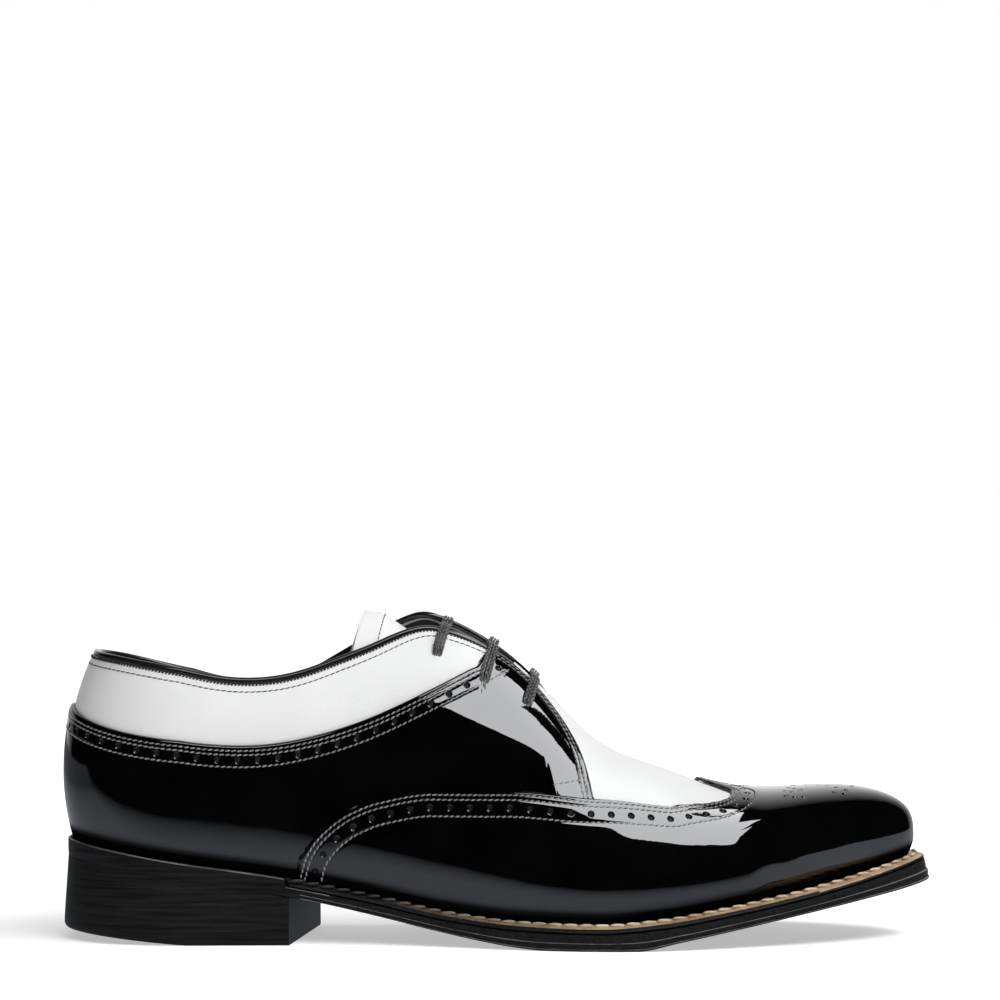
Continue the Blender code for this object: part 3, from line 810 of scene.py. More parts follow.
def settle(spot, target):
    """Spot of the last closest to a point near it."""
    side, a, level = spot
    for _ in range(SETTLE_ROUNDS):
        here = bare_skin(side, a, level)
        room = max(LEVEL_PROBE_LEAST, 1 - level) / 2
        step = min(LEVEL_PROBE, room) if level < 1 else LEVEL_PROBE
        behind, ahead = neighbours(a)
        along = (bare_skin(side, ahead, level) - bare_skin(side, behind, level)) / (ahead - behind)
        low, high = max(-1.0, level - step), min(1.0, level + step)
        up = (bare_skin(side, a, high) - bare_skin(side, a, low)) / (high - low)
        miss = target - here
        grid = np.array(((along.dot(along), along.dot(up)), (along.dot(up), up.dot(up))))
        move = np.linalg.solve(grid, np.array((along.dot(miss), up.dot(miss))))
        a = min(SOLE_TIP - TIP_CLEAR, max(HEEL_END, a + float(move[0])))
        side, a, level = over_ridge(side, a, max(-1.0, level + float(move[1])))
    return side, a, level


# Relief of a sewn panel

def rolled(distance):
    """Drop of a panel's rolled edge."""
    if distance > EDGE_ROLL:
        return 0.0
    return EDGE_DROP * (1 - math.sqrt(max(0.0, 1 - (1 - distance / EDGE_ROLL) ** 2)))


def grooves(distance, *rows):
    """Depth of the grooves that stitch rows pull into a panel."""
    return sum(GROOVE_DEPTH * math.exp(-((distance - row) / GROOVE_WIDTH) ** 2) for row in rows)


def puff(depth, first, last):
    """Swell of the band between two rows."""
    if not first < depth < last:
        return 0.0
    return BAND_PUFF * math.sin(math.pi * (depth - first) / (last - first))


def quarter_relief(spot):
    """Height of the quarter above its plain lift: rolled edge, grooves and the band below its top line."""
    point = bare_skin(*spot)
    distance = quarter_tree.find(point)[2]
    depth = (quarter_line(spot[1]) - point.z) / BAND_SLANT
    band = puff(depth, QUARTER_STITCHES[-1], BAND_STITCH) - grooves(depth, BAND_STITCH)
    band *= blend(distance, QUARTER_STITCHES[-1], BAND_CLEAR)
    return band - rolled(distance) - grooves(distance, *QUARTER_STITCHES)


def wing_relief(spot):
    """Height of the wing cap above its plain lift: rolled edge, grooves and the band between them."""
    distance = wing_tree.find(bare_skin(*spot))[2]
    return puff(distance, *WING_STITCHES[1:]) - rolled(distance) - grooves(distance, *WING_STITCHES)


def rib(side, a, top, steps, lower):
    """Levels of one rib: even rows up from the foot, then rows at set distances below its top edge."""
    levels = [-1 + (top + 1) * k / RIB_SAMPLES for k in range(RIB_SAMPLES + 1)]
    points = [bare_skin(side, a, level) for level in levels]
    runs = [0.0]
    for first, second in zip(points[::-1], points[-2::-1]):
        runs.append(runs[-1] + (second - first).length)
    levels.reverse()
    total = runs[-1]
    shrink = min(1.0, total / (steps[0] * RIB_SPARE))
    depths = [steps[0] * shrink + (total - steps[0] * shrink) * (1 - k / lower) for k in range(lower)]
    depths += [step * shrink for step in steps]
    rows = []
    for depth in depths:
        i = min(max(bisect_right(runs, depth) - 1, 0), RIB_SAMPLES - 1)
        t = (depth - runs[i]) / max(TINY, runs[i + 1] - runs[i])
        rows.append(levels[i] + (levels[i + 1] - levels[i]) * min(1.0, max(0.0, t)))
    return rows


def edge_steps(depth, step, roll_steps=6):
    """Distances below an edge, down to zero, close together on its roll."""
    count = round((depth - EDGE_ROLL) / step)
    body = [depth - (depth - EDGE_ROLL) * k / count for k in range(count)]
    return body + [EDGE_ROLL * (1 - math.sin(math.pi / 2 * k / roll_steps)) for k in range(roll_steps + 1)]


# Mesh helpers

def store_painted_shade_strip(bm):
    """Store how glossy a panel is: not at all where it turns in just above the welt, which shows a matt dark
    painted shade there.
    """
    gloss = bm.verts.layers.float.new("gloss")
    for vert in bm.verts:
        height = vert.co.z / MM - foot(vert.co.x / MM)
        vert[gloss] = blend(height, *SHADE_STRIP_HEIGHTS)


def mapped_grid(columns, rows, *places):
    """Grids whose crossings are moved to place(i, j), in millimetres, and welded together."""
    bm = bmesh.new()
    for place in places:
        for vert, i, j in crossings(bm, columns, rows):
            vert.co = Vector(place(i, j)) * MM
    bmesh.ops.remove_doubles(bm, verts=bm.verts, dist=WELD)
    return bm


def panel_grid(columns, rows, dress, *spots):
    """Grids of a panel: each crossing remembers its spot of the last and lies at dress(spot).

    A crossing without a spot is cut away with the faces round it.
    """
    bm = bmesh.new()
    station = bm.verts.layers.float.new("station")
    height = bm.verts.layers.float.new("level")
    absent = []
    for spot_at in spots:
        for vert, i, j in crossings(bm, columns, rows):
            spot = spot_at(i, j)
            if spot is None:
                absent.append(vert)
                continue
            vert.co = dress(spot) * MM
            vert[station] = spot[1]
            vert[height] = spot[2]
    bmesh.ops.delete(bm, geom=absent, context='VERTS')
    bmesh.ops.remove_doubles(bm, verts=bm.verts, dist=WELD)
    bmesh.ops.recalc_face_normals(bm, faces=bm.faces)
    return bm


def crossings(bm, columns, rows):
    """New grid's vertices with their column and row."""
    grid = bmesh.ops.create_grid(bm, x_segments=columns, y_segments=rows, size=0.5)
    found = []
    for vert in grid["verts"]:
        found.append((vert, round((vert.co.x + 0.5) * columns), round((vert.co.y + 0.5) * rows)))
    return found


def as_mesh(bm, name):
    mesh = bpy.data.meshes.new(name)
    bm.to_mesh(mesh)
    bm.free()
    return mesh


def put(name, data):
    """New object at the origin of the scene."""
    thing = bpy.data.objects.new(name, data)
    bpy.context.scene.collection.objects.link(thing)
    return thing


def keep(bm, name, slot, materials, *nodes, sharp=50):
    """Store a finished bmesh as a piece that rides on the shoe and stands for CAD nodes."""
    mesh = as_mesh(bm, name)
    mesh.shade_smooth()
    mesh.set_sharp_from_angle(angle=math.radians(sharp))
    for material in materials:
        mesh.materials.append(material)
    piece = put(name, mesh)
    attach(piece, "root")
    if nodes:
        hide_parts(*nodes)
    return piece


def thicken(piece, thickness, lining=0):
    """Wall towards the inside, with its inner faces in the lining's material."""
    wall = piece.modifiers.new("wall", 'SOLIDIFY')
    wall.thickness = thickness * MM
    wall.offset = -1.0
    wall.material_offset = lining


def ring_grid(*bodies):
    """Closed bodies, each through its rings of points, with their open ends filled."""
    around = len(bodies[0][0])
    places = [lambda i, j, rings=rings: rings[i][j % around] for rings in bodies]
    bm = mapped_grid(len(bodies[0]) - 1, around, *places)
    open_edges = [edge for edge in bm.edges if edge.is_boundary]
    bmesh.ops.holes_fill(bm, edges=open_edges, sides=0)
    bmesh.ops.recalc_face_normals(bm, faces=bm.faces)
    return bm


def cord_rings(points, radius, sides):
    """Rings of a round cord along points in millimetres, with one radius or one for each point."""
    points = [Vector(point) for point in points]
    sizes = radius if isinstance(radius, list) else [radius] * len(points)
    turns = [2 * math.pi * k / sides for k in range(sides)]
    across = Vector((0.0, 0.0, 1.0))
    rings = []
    for i, (point, size) in enumerate(zip(points, sizes)):
        along = (points[min(i + 1, len(points) - 1)] - points[max(i - 1, 0)]).normalized()
        across = (across - along * across.dot(along)).normalized()
        other = along.cross(across)
        rings.append([point + (across * math.cos(t) + other * math.sin(t)) * size for t in turns])
    return rings


def scatter(template, matrices):
    """Copies of a small bmesh, one for each matrix, joined into one bmesh."""
    template.verts.index_update()
    corners = np.array([(*vert.co, 1.0) for vert in template.verts])
    faces = np.array([[vert.index for vert in face.verts] for face in template.faces], dtype=object)
    places = [(corners @ np.array(matrix).T)[:, :3] for matrix in matrices]
    joined = bpy.data.meshes.new("scattered")
    count = len(corners)
    joined.from_pydata(np.concatenate(places).tolist(), [],
                       [[index + count * k for index in face] for k in range(len(places)) for face in faces])
    template.free()
    bm = bmesh.new()
    bm.from_mesh(joined)
    bpy.data.meshes.remove(joined)
    return bm


class SeamLine:
    """Line on the surface with its points, normals and running length."""

    def __init__(self, points, normals):
        self.points = points
        self.normals = normals
        self.runs = [0.0]
        for first, second in zip(points, points[1:]):
            self.runs.append(self.runs[-1] + (second - first).length)

    @classmethod
    def on_skin(cls, walk, lift):
        """Line over spots of the last, at a lift that depends on the station."""
        normals = [outward(*spot) for spot in walk]
        points = [bare_skin(*spot) + normal * lift(spot[1]) for spot, normal in zip(walk, normals)]
        return cls(points, normals)

    def at(self, run):
        i = min(max(bisect_right(self.runs, run) - 1, 0), len(self.runs) - 2)
        t = (run - self.runs[i]) / max(TINY, self.runs[i + 1] - self.runs[i])
        point = self.points[i].lerp(self.points[i + 1], t)
        normal = self.normals[i].lerp(self.normals[i + 1], t).normalized()
        return point, normal

    def steps(self, pitch, start=0.0):
        """Point, normal and direction at every pitch along the line."""
        count = int((self.runs[-1] - start) / pitch)
        found = []
        for k in range(count + 1):
            run = start + pitch * k
            point, normal = self.at(run)
            ahead, _ = self.at(min(run + RUN_PROBE, self.runs[-1]))
            behind, _ = self.at(max(run - RUN_PROBE, 0.0))
            found.append((point, normal, (ahead - behind).normalized()))
        return found


def lying(point, normal, along, length, width, height):
    """Matrix that lays a unit ball on the surface as a longish bead."""
    across = normal.cross(along).normalized()
    along = across.cross(normal)
    turn = Matrix((along, across, normal)).transposed().to_4x4()
    turn.translation = Vector(point) * MM
    return turn @ Matrix.Diagonal((length * MM, width * MM, height * MM, 1.0))


def stitches(line, pitch, length, radius, slant):
    """Matrices of a row of stitches along a line, each a little slanted."""
    places = []
    for point, normal, along in line.steps(pitch, pitch / 2):
        turned = along + normal.cross(along) * slant
        places.append(lying(point, normal, turned.normalized(), length / 2, radius, radius))
    return places


def stitch_bead():
    """Small round bead that is drawn out into a stitch."""
    bm = bmesh.new()
    bmesh.ops.create_uvsphere(bm, u_segments=8, v_segments=5, radius=1.0,
                              matrix=Matrix.Rotation(math.pi / 2, 4, 'Y'))
    return bm


# Shaders

class Wire:
    """A shader value that sums, products and other nodes can be built on."""

    def __init__(self, socket):
        self.socket = socket

    def node(self, kind, settings=None, sockets=None, output=0):
        """Any other node: its type, its settings, and the values or links of its sockets."""
        made = self.socket.id_data.nodes.new(kind)
        for name, value in (settings or {}).items():
            if name == "stops":
                set_stops(made.color_ramp, value)
            else:
                setattr(made, name, value)
        for name, value in (sockets or {}).items():
            plug(made.inputs[name], value)
        return Wire(made.outputs[output])

    def maths(self, operation, first, second):
        return self.node("ShaderNodeMath", {"operation": operation}, {0: first, 1: second})

    def __add__(self, other):
        return self.maths("ADD", self, other)

    def __radd__(self, other):
        return self.maths("ADD", other, self)

    def __sub__(self, other):
        return self.maths("SUBTRACT", self, other)

    def __rsub__(self, other):
        return self.maths("SUBTRACT", other, self)

    def __mul__(self, other):
        return self.maths("MULTIPLY", self, other)

    def __rmul__(self, other):
        return self.maths("MULTIPLY", other, self)

    def noise(self, scale, detail=2.0, roughness=0.5):
        return self.node("ShaderNodeTexNoise", sockets={
            "Vector": self, "Scale": scale, "Detail": detail, "Roughness": roughness})

    def cells(self, scale):
        return self.node("ShaderNodeTexVoronoi", sockets={"Vector": self, "Scale": scale})

    def ramp(self, *stops):
        return self.node("ShaderNodeValToRGB", {"stops": stops}, {0: self})

    def span(self, start, end, low=0.0, high=1.0):
        """Share of the way from start to end, held at low and high."""
        return self.node("ShaderNodeMapRange", sockets={0: self, 1: start, 2: end, 3: low, 4: high})

    def bump(self, strength, distance, base=None):
        sockets = {"Height": self, "Strength": strength, "Distance": distance}
        if base:
            sockets["Normal"] = base
        return self.node("ShaderNodeBump", sockets=sockets)


def plug(socket, value):
    if isinstance(value, Wire):
        socket.id_data.links.new(value.socket, socket)
    else:
        socket.default_value = value


def set_stops(ramp, stops):
    """Stops of a ramp as (position, grey or colour)."""
    while len(ramp.elements) < len(stops):
        ramp.elements.new(0.5)
    for element, (position, colour) in zip(ramp.elements, stops):
        element.position = position
        element.color = (*colour, 1.0)


def finish(name, **fixed):
    """New material with fixed shader values, and its object coordinates to build on."""
    material = bpy.data.materials.new(name)
    material.use_nodes = True
    tree = material.node_tree
    shader = tree.nodes["Principled BSDF"]
    for socket, value in fixed.items():
        shader.inputs[socket.replace("_", " ").title().replace("Ior", "IOR")].default_value = value
    coords = Wire(tree.nodes.new("ShaderNodeTexCoord").outputs["Object"])
    return material, shader.inputs, coords


def mix_surface(material, share, first=None, second=None):
    """Show two shaders mixed by a share; the one left out is the material's own."""
    nodes = material.node_tree.nodes
    own = Wire(nodes["Principled BSDF"].outputs[0])
    both = share.node("ShaderNodeMixShader", sockets={0: share, 1: first or own, 2: second or own})
    plug(nodes["Material Output"].inputs["Surface"], both)


def patent_leather(name, bend):
    """Mirror-gloss black leather with slow waves, a fine pebble and the broad bend of its panel.

    Where its panel stores no gloss it shows a matt dark shader instead, painted shade just above the welt.
    """
    material, shader, coords = finish(name, ior=1.75, roughness=0.03)
    cloud = coords.noise(60.0, 3.0)
    plug(shader["Base Color"], cloud.ramp((0.3, (0.0008, 0.0009, 0.001)), (0.7, (0.0018, 0.0019, 0.002))))
    waves = coords.noise(45.0, 2.0)
    pebble = coords.noise(800.0, 2.0)
    broad = bend(coords).bump(1.0, 1.0)
    plug(shader["Normal"], pebble.bump(1.0, PEBBLE_HEIGHT, waves.bump(1.0, WAVE_HEIGHT, broad)))
    # Matt dark shader painted as the shade just above the welt, mixed in where the panel stores no gloss
    painted_shade = coords.node("ShaderNodeBsdfPrincipled", sockets={
        "Base Color": (0.0012, 0.0012, 0.0013, 1.0), "Roughness": 0.6, "Specular IOR Level": 0.0})
    gloss = coords.node("ShaderNodeAttribute", {"attribute_name": "gloss"}, output=2)
    mix_surface(material, gloss, first=painted_shade)
    return material


def axes(coords):
    """The three object coordinates, in metres."""
    split = coords.node("ShaderNodeSeparateXYZ", sockets={0: coords}).socket.node
    return [Wire(output) for output in split.outputs]


def past(value, softness):
    """How far a value lies beyond zero, with a soft start."""
    return value.node("ShaderNodeMath", {"operation": 'SMOOTH_MAX'}, {0: value, 1: 0.0, 2: softness})


def toe_bend(coords):
    """The toe turns away towards its tip."""
    along, _, _ = axes(coords)
    start = past(along - TOE_BEND_START, TOE_BEND_SOFT)
    return (start - past(along - TOE_BEND_END, TOE_BEND_FADE)) * -TOE_BEND_SLOPE


def flank_bend(coords):
    """The quarter falls away below a slanting line in front of the waist."""
    along, _, height = axes(coords)
    below = FLANK_LINE - height - along * FLANK_SLANT - past(along - FLANK_END, FLANK_SOFT) * FLANK_CLOSE
    return (past(below, FLANK_SOFT) - past(below - FLANK_REACH, FLANK_REACH / 2)) * -FLANK_SLOPE


def bead_leather(name):
    """Glossy black leather of the rolled collar edge."""
    material, shader, coords = finish(name, coat_weight=1.0, coat_roughness=0.12, specular_ior_level=0.1)
    cloud = coords.noise(90.0, 3.0)
    plug(shader["Base Color"], cloud.ramp((0.3, (0.004, 0.004, 0.0045)), (0.7, (0.008, 0.008, 0.0085))))
    plug(shader["Normal"], coords.noise(700.0, 2.0).bump(0.15, GRAIN_HEIGHT))
    return material


def white_leather(name, tone):
    """Smooth white leather with a fine grain."""
    material, shader, coords = finish(name, ior=1.45)
    cloud = coords.noise(35.0, 3.0)
    shade = tuple(0.93 * channel for channel in tone)
    plug(shader["Base Color"], cloud.ramp((0.25, shade), (0.65, tone)))
    grain = coords.cells(1100.0)
    pores = coords.noise(2300.0, 2.0)
    plug(shader["Roughness"], 0.36 + cloud * 0.14)
    plug(shader["Normal"], (grain * 0.6 + pores * 0.4).bump(0.16, GRAIN_HEIGHT))
    return material


def plain_leather(name, dark, light, rough, grain_scale, grain_strength):
    """Leather in one colour with cloudy tone and pores."""
    material, shader, coords = finish(name)
    cloud = coords.noise(90.0, 4.0)
    plug(shader["Base Color"], cloud.ramp((0.3, dark), (0.7, light)))
    plug(shader["Roughness"], rough + cloud * 0.15)
    plug(shader["Normal"], coords.cells(grain_scale).bump(grain_strength, GRAIN_HEIGHT))
    return material


def welt_leather(name, dark, light):
    """Tan leather of the welt and its stitches, darker towards the waist."""
    material, shader, coords = finish(name)
    cloud = coords.noise(140.0, 4.0)
    tan = cloud.ramp((0.3, dark), (0.7, light))
    along, _, _ = axes(coords)
    tan_share = along.span(*WELT_DARK_STRETCH)
    plug(shader["Base Color"], tan.node("ShaderNodeMix", {"data_type": 'RGBA'}, {
        0: tan_share, 6: (0.012, 0.010, 0.009, 1.0), 7: tan}, output=2))
    plug(shader["Roughness"], 0.45 + cloud * 0.2)
    plug(shader["Normal"], coords.noise(1300.0, 3.0).bump(0.35, COARSE_HEIGHT))
    return material


def thread(name, dark, light, rough):
    """Thread with a fine, uneven tone and twist."""
    material, shader, coords = finish(name)
    twist = coords.noise(1800.0, 2.0)
    plug(shader["Base Color"], twist.ramp((0.3, dark), (0.7, light)))
    plug(shader["Roughness"], rough + twist * 0.2)
    plug(shader["Normal"], twist.bump(0.3, GRAIN_HEIGHT))
    return material


def sole_black(name, gloss, speckle):
    """Burnished black edge with fine grit and faint streaks along the layers."""
    material, shader, coords = finish(name, specular_ior_level=0.1)
    layers = coords.node("ShaderNodeMapping", sockets={"Vector": coords, "Scale": (30.0, 30.0, 900.0)})
    streaks = layers.noise(1.0, 4.0, 0.6)
    grit = coords.noise(1100.0, 3.0)
    along, _, _ = axes(coords)
    share = along.span(*SPECKLE_STRETCH, SEAT_SPECKLE, speckle)
    tone = streaks * (1 - share) + grit * share
    plug(shader["Base Color"], tone.ramp((0.35, (0.003, 0.003, 0.0034)), (0.7, (0.016, 0.016, 0.0165))))
    plug(shader["Roughness"], gloss + streaks * 0.16)
    plug(shader["Normal"], (streaks * 0.5 + grit * 0.5).bump(0.2, COARSE_HEIGHT))
    return material


def make_finishes():
    """All finishes of the shoe by name."""
    return {
        "quarter": patent_leather("black_patent_quarter", flank_bend),
        "cap": patent_leather("black_patent_cap", toe_bend),
        "white": white_leather("white_upper_leather", (0.74, 0.737, 0.727)),
        "tongue": white_leather("white_tongue_leather", (0.83, 0.825, 0.81)),
        "lining": plain_leather(
            "black_lining", (0.012, 0.012, 0.013), (0.022, 0.022, 0.024), 0.5, 900.0, 0.2),
        "binding": bead_leather("black_binding_leather"),
        "insole": plain_leather("tan_sock_leather", (0.36, 0.25, 0.15), (0.46, 0.33, 0.2), 0.5, 900.0, 0.2),
        "welt": welt_leather("tan_welt_leather", (0.26, 0.165, 0.085), (0.46, 0.32, 0.19)),
        "welt_thread": welt_leather("pale_welt_thread", (0.34, 0.24, 0.14), (0.70, 0.59, 0.45)),
        "black_thread": thread("black_thread", (0.006, 0.006, 0.007), (0.02, 0.02, 0.021), 0.25),
        # The same black thread given a lighter grey on the patent panels: painted highlight
        "thread_painted_highlight": thread("black_thread_painted_highlight", (0.10, 0.10, 0.102), (0.32, 0.32, 0.325), 0.2),
        "grey_thread": thread("grey_thread", (0.06, 0.06, 0.06), (0.12, 0.12, 0.12), 0.5),
        # Lit and shaded copies of the one dark lace: crests lighter as painted highlight, dips darker as
        # painted shade
        "lace": thread("lace_strand_painted_lit", (0.05, 0.05, 0.051), (0.15, 0.15, 0.148), 0.35),
        "lace_shade": thread("lace_strand_painted_shade", (0.004, 0.004, 0.0045), (0.012, 0.012, 0.012), 0.45),
        # Lighter grey on the upward bevels of sole and heel: painted highlight of the light they catch
        "ledge_highlight": plain_leather("ledge_painted_highlight", (0.035, 0.035, 0.035), (0.17, 0.17, 0.166), 0.4, 700.0, 0.3),
        "edge": sole_black("black_sole_edge", 0.45, 0.75),
        "heel": sole_black("black_heel_stack", 0.5, 0.25),
        # Floor of the punched pits: painted shade
        "hole": plain_leather(
            "hole_shadow", (0.0012, 0.0012, 0.0013), (0.002, 0.002, 0.002), 0.7, 900.0, 0.1),
    }


# Pieces of the upper

def make_upper():
    stations = toe_stations(UPPER_TOE) + spaced(TOE_START, THROAT_FRONT, SIDE_SPACING)
    stations += spaced(THROAT_FRONT, THROAT_BEND, THROAT_ROUND_SPACING) + rim_stations()
    walk = both_sides(stations)
    steps = (9.0, 8.0, 7.0, 6.0, 5.0, 4.2, 3.4, 3.0, 2.7, 2.4, 2.0, 1.5, 1.0, 0.5, 0.0)
    lower = 24
    ribs = [rib(side, a, top_level(side, a), steps, lower) for side, a in walk]
    bm = mapped_grid(len(walk) - 1, lower + len(steps) - 1, lambda i, j: skin(*walk[i], ribs[i][j]))
    bmesh.ops.recalc_face_normals(bm, faces=bm.faces)
    piece = keep(bm, "white_upper", "white_leather", (finishes["white"], finishes["lining"]), "upper")
    thicken(piece, WALL, lining=1)


def make_quarter():
    walk = both_sides(facing_stations())
    steps = edge_steps(QUARTER_CLOSE, CLOSE_ROWS)
    lower = 24
    ribs = [rib(side, a, quarter_level(side, a), steps, lower) for side, a in walk]

    def dress(spot):
        return skin(*spot, quarter_lift(spot[1]) + quarter_relief(spot))

    bm = panel_grid(len(walk) - 1, lower + len(steps) - 1, dress, lambda i, j: (*walk[i], ribs[i][j]))
    punch(bm, dress, hole_row(band_walk(QUARTER_HOLES, HOLE_CLEAR), quarter_lift, 0.0))
    store_painted_shade_strip(bm)
    piece = keep(bm, "patent_quarter", "black_patent", (finishes["quarter"], finishes["hole"]), "quarter")
    thicken(piece, OVERLAY)


def make_wing_cap():
    """Ribs up to the side edge behind the shoulder, level rows round the toe in front of it."""
    close, easing, wide = WING_RIB_SPACING
    side_stations = spaced(WING_BACK, WING_RIB_TURN, close) + spaced(WING_RIB_TURN, WING_RIB_EASE, easing)
    side_stations += spaced(WING_RIB_EASE, WING_SHOULDER, wide)
    near = [(k / WING_NEAR) ** WING_NEAR_CLOSE for k in range(WING_NEAR + 1)]
    toe = spaced(WING_ALIGN, TOE_START, SIDE_SPACING) + [TOE_START] + toe_stations(UPPER_TOE)[::-1]
    steps = edge_steps(WING_CLOSE, CLOSE_ROWS)
    lower = 18
    side_rows = lower + len(steps) - 1
    levels = rib(LATERAL, WING_SHOULDER, shoulder_level, steps, lower)
    front_rows = 40
    levels += [shoulder_level + (1 - shoulder_level) * k / front_rows for k in range(1, front_rows + 1)]
    ribs = {}
    columns = len(side_stations) + len(near) + len(toe) - 1

    def spot_at(side, i, j):
        if i < len(side_stations):
            if j > side_rows:
                return None
            a = side_stations[i]
            if (side, i) not in ribs:
                ribs[side, i] = rib(side, a, level_at_height(a, wing_side(a)), steps, lower)
            return side, a, ribs[side, i][j]
        step = i - len(side_stations)
        if step >= len(near):
            return side, toe[step - len(near)], levels[j]
        start = wing_top(levels[j])
        reach = (WING_ALIGN - start) * WING_NEAR / len(near)
        return side, start + reach * near[step], levels[j]

    def dress(spot):
        return skin(*spot, wing_lift(spot[1]) + wing_relief(spot))

    bm = panel_grid(columns, len(levels) - 1, dress,
                    lambda i, j: spot_at(LATERAL, i, j), lambda i, j: spot_at(MEDIAL, columns - i, j))
    holes = hole_row(inset_walk(wing_walk, WING_HOLES, wing_tree), wing_lift, WING_MARGIN)
    punch(bm, dress, holes + medallion_holes())
    store_painted_shade_strip(bm)
    piece = keep(bm, "patent_wing_cap", "black_patent", (finishes["cap"], finishes["hole"]), "wing_cap")
    thicken(piece, OVERLAY)


def tongue_point(share_along, share, extra=0.0):
    """Point of the tongue's face: share_along from its free end, share from edge to edge."""
    side = MEDIAL if share > 0 else LATERAL
    start, end = TONGUE[0][0], TONGUE[-1][0]
    a = start + (end - start) * share_along - TONGUE_SLANT * share * share * (1 - share_along)
    spread = abs(share) * tongue_half[side](a)
    sag = tongue_sag(a) * (1 - share * share)
    spot = (side, a, level_at_spread(side, a, spread))
    return skin(*spot, extra - WALL - TONGUE_CLEAR - sag), outward(*spot)


def make_tongue():
    along = 60
    across = 44
    bm = mapped_grid(along, across, lambda i, j: tongue_point(i / along, 2 * j / across - 1)[0])
    bmesh.ops.recalc_face_normals(bm, faces=bm.faces)
    piece = keep(bm, "white_tongue", "tongue", (finishes["tongue"],), "tongue")
    thicken(piece, TONGUE_THICK)
    soft = piece.modifiers.new("soft_edge", 'BEVEL')
    soft.width = TONGUE_SOFT * MM
    soft.segments = 2
    soft.limit_method = 'ANGLE'
    soft.angle_limit = math.radians(SOFT_ANGLE)


def binding_path():
    """Middle line of the collar bead, seated on the rim of the white wall."""
    walk = both_sides(rim_stations())
    rim = [skin(side, a, top_level(side, a)) for side, a in walk]
    path = []
    for i, (side, a) in enumerate(walk):
        along = (rim[min(i + 1, len(rim) - 1)] - rim[max(i - 1, 0)]).normalized()
        below = skin(side, a, top_level(side, a) - RIM_PROBE)
        away = along.cross(rim[i] - below).normalized()
        upward = away.cross(along)
        away_side = away if away.dot(outward(side, a, top_level(side, a))) > 0 else -away
        path.append(rim[i] - away_side * WALL / 2 + upward * (BINDING_SEAT + BINDING_RADIUS))
    return path


def make_collar_binding():
    bm = ring_grid(cord_rings(binding_path(), BINDING_RADIUS * BINDING_FULL, BINDING_SIDES))
    keep(bm, "collar_bead", "binding", (finishes["binding"],), "collar_binding")


def make_seams():
    """Stitch rows of quarter, wing cap, collar and tongue, each its own piece."""
    quarter_rows = [inset_walk(quarter_walk, distance, quarter_tree) for distance in QUARTER_STITCHES]
    quarter_rows.append(band_walk(BAND_STITCH, BAND_CLEAR))
    for side in (LATERAL, MEDIAL):
        quarter_rows.append([(side, a, level_at_height(a, z)) for a, z in STAY])
    cap_rows = [inset_walk(wing_walk, distance, wing_tree) for distance in WING_STITCHES]
    seams = (
        ("quarter_stitches", "black_patent", quarter_rows, quarter_lift),
        ("wing_stitches", "black_patent", cap_rows, wing_lift),
    )
    for name, slot, walks, lift in seams:
        places = []
        for walk in walks:
            line = SeamLine.on_skin(walk, lambda a: lift(a) - GROOVE_DEPTH / 2)
            places += stitches(line, *PANEL_ROW)
        # Panel stitches take the black thread with its painted highlight
        keep(scatter(stitch_bead(), places), name, slot, (finishes["thread_painted_highlight"],))
    row = SeamLine.on_skin(inset_walk(collar_walk, COLLAR_STITCH, collar_tree), lambda a: 0.0)
    teeth = SeamLine.on_skin(inset_walk(collar_walk, BEAD_TEETH, collar_tree), lambda a: STITCH_LIFT)
    places = stitches(row, *COLLAR_ROW) + stitches(teeth, *TEETH_ROW)
    keep(scatter(stitch_bead(), places), "collar_stitches", "white_leather", (finishes["black_thread"],))
    half = TONGUE_STITCH_POINTS
    across = [tongue_point(TONGUE_STITCH, k / half, STITCH_LIFT) for k in range(-half, half + 1)]
    row = SeamLine([point for point, _ in across], [normal for _, normal in across])
    places = stitches(row, *TONGUE_ROW)
    keep(scatter(stitch_bead(), places), "tongue_stitches", "tongue", (finishes["grey_thread"],))


# Punched holes

def hole_row(walk, lift, margin):
    """Evenly spaced holes along a walk, as middle, normal and size."""
    line = SeamLine.on_skin(walk, lift)
    run = line.runs[-1] - 2 * margin
    count = round(run / HOLE_PITCH)
    return [(point, normal, HOLE_RADIUS) for point, normal, _ in line.steps(run / count, margin)[:count + 1]]


def punch(bm, dress, holes):
    """Press round pits into a panel, each with a floor dark in painted shade, after refining the panel round
    them.
    """
    for reach, cuts, short in PIT_REFINE:
        faces = faces_near(bm, holes, reach)
        edges = {edge for face in faces for edge in face.edges if edge.calc_length() > short * MM}
        bmesh.ops.subdivide_edges(bm, edges=list(edges), cuts=cuts, use_grid_fill=True)
    station = bm.verts.layers.float["station"]
    height = bm.verts.layers.float["level"]
    bm.verts.ensure_lookup_table()
    tree = search_tree([vert.co for vert in bm.verts])
    places = {}
    for middle, _, _ in holes:
        for _, index, _ in tree.find_range(middle * MM, PIT_SKIN * MM):
            vert = bm.verts[index]
            side = MEDIAL if vert.co.y / MM > axis(max(vert[station], HEEL_AXIS)) else LATERAL
            places[index] = dress((side, vert[station], min(1.0, vert[height])))
    for index, place in places.items():
        bm.verts[index].co = place * MM
    for middle, normal, size in holes:
        for _, index, _ in tree.find_range(middle * MM, PIT_REACH * size * MM):
            away = places[index] - middle
            radius = (away - normal * away.dot(normal)).length / size
            depth = PIT_DEPTH * (1 - blend(radius, PIT_FLOOR, PIT_RIM))
            bm.verts[index].co = (places[index] - normal * depth) * MM
    for face in faces_near(bm, holes, PIT_DARK):
        face.material_index = 1


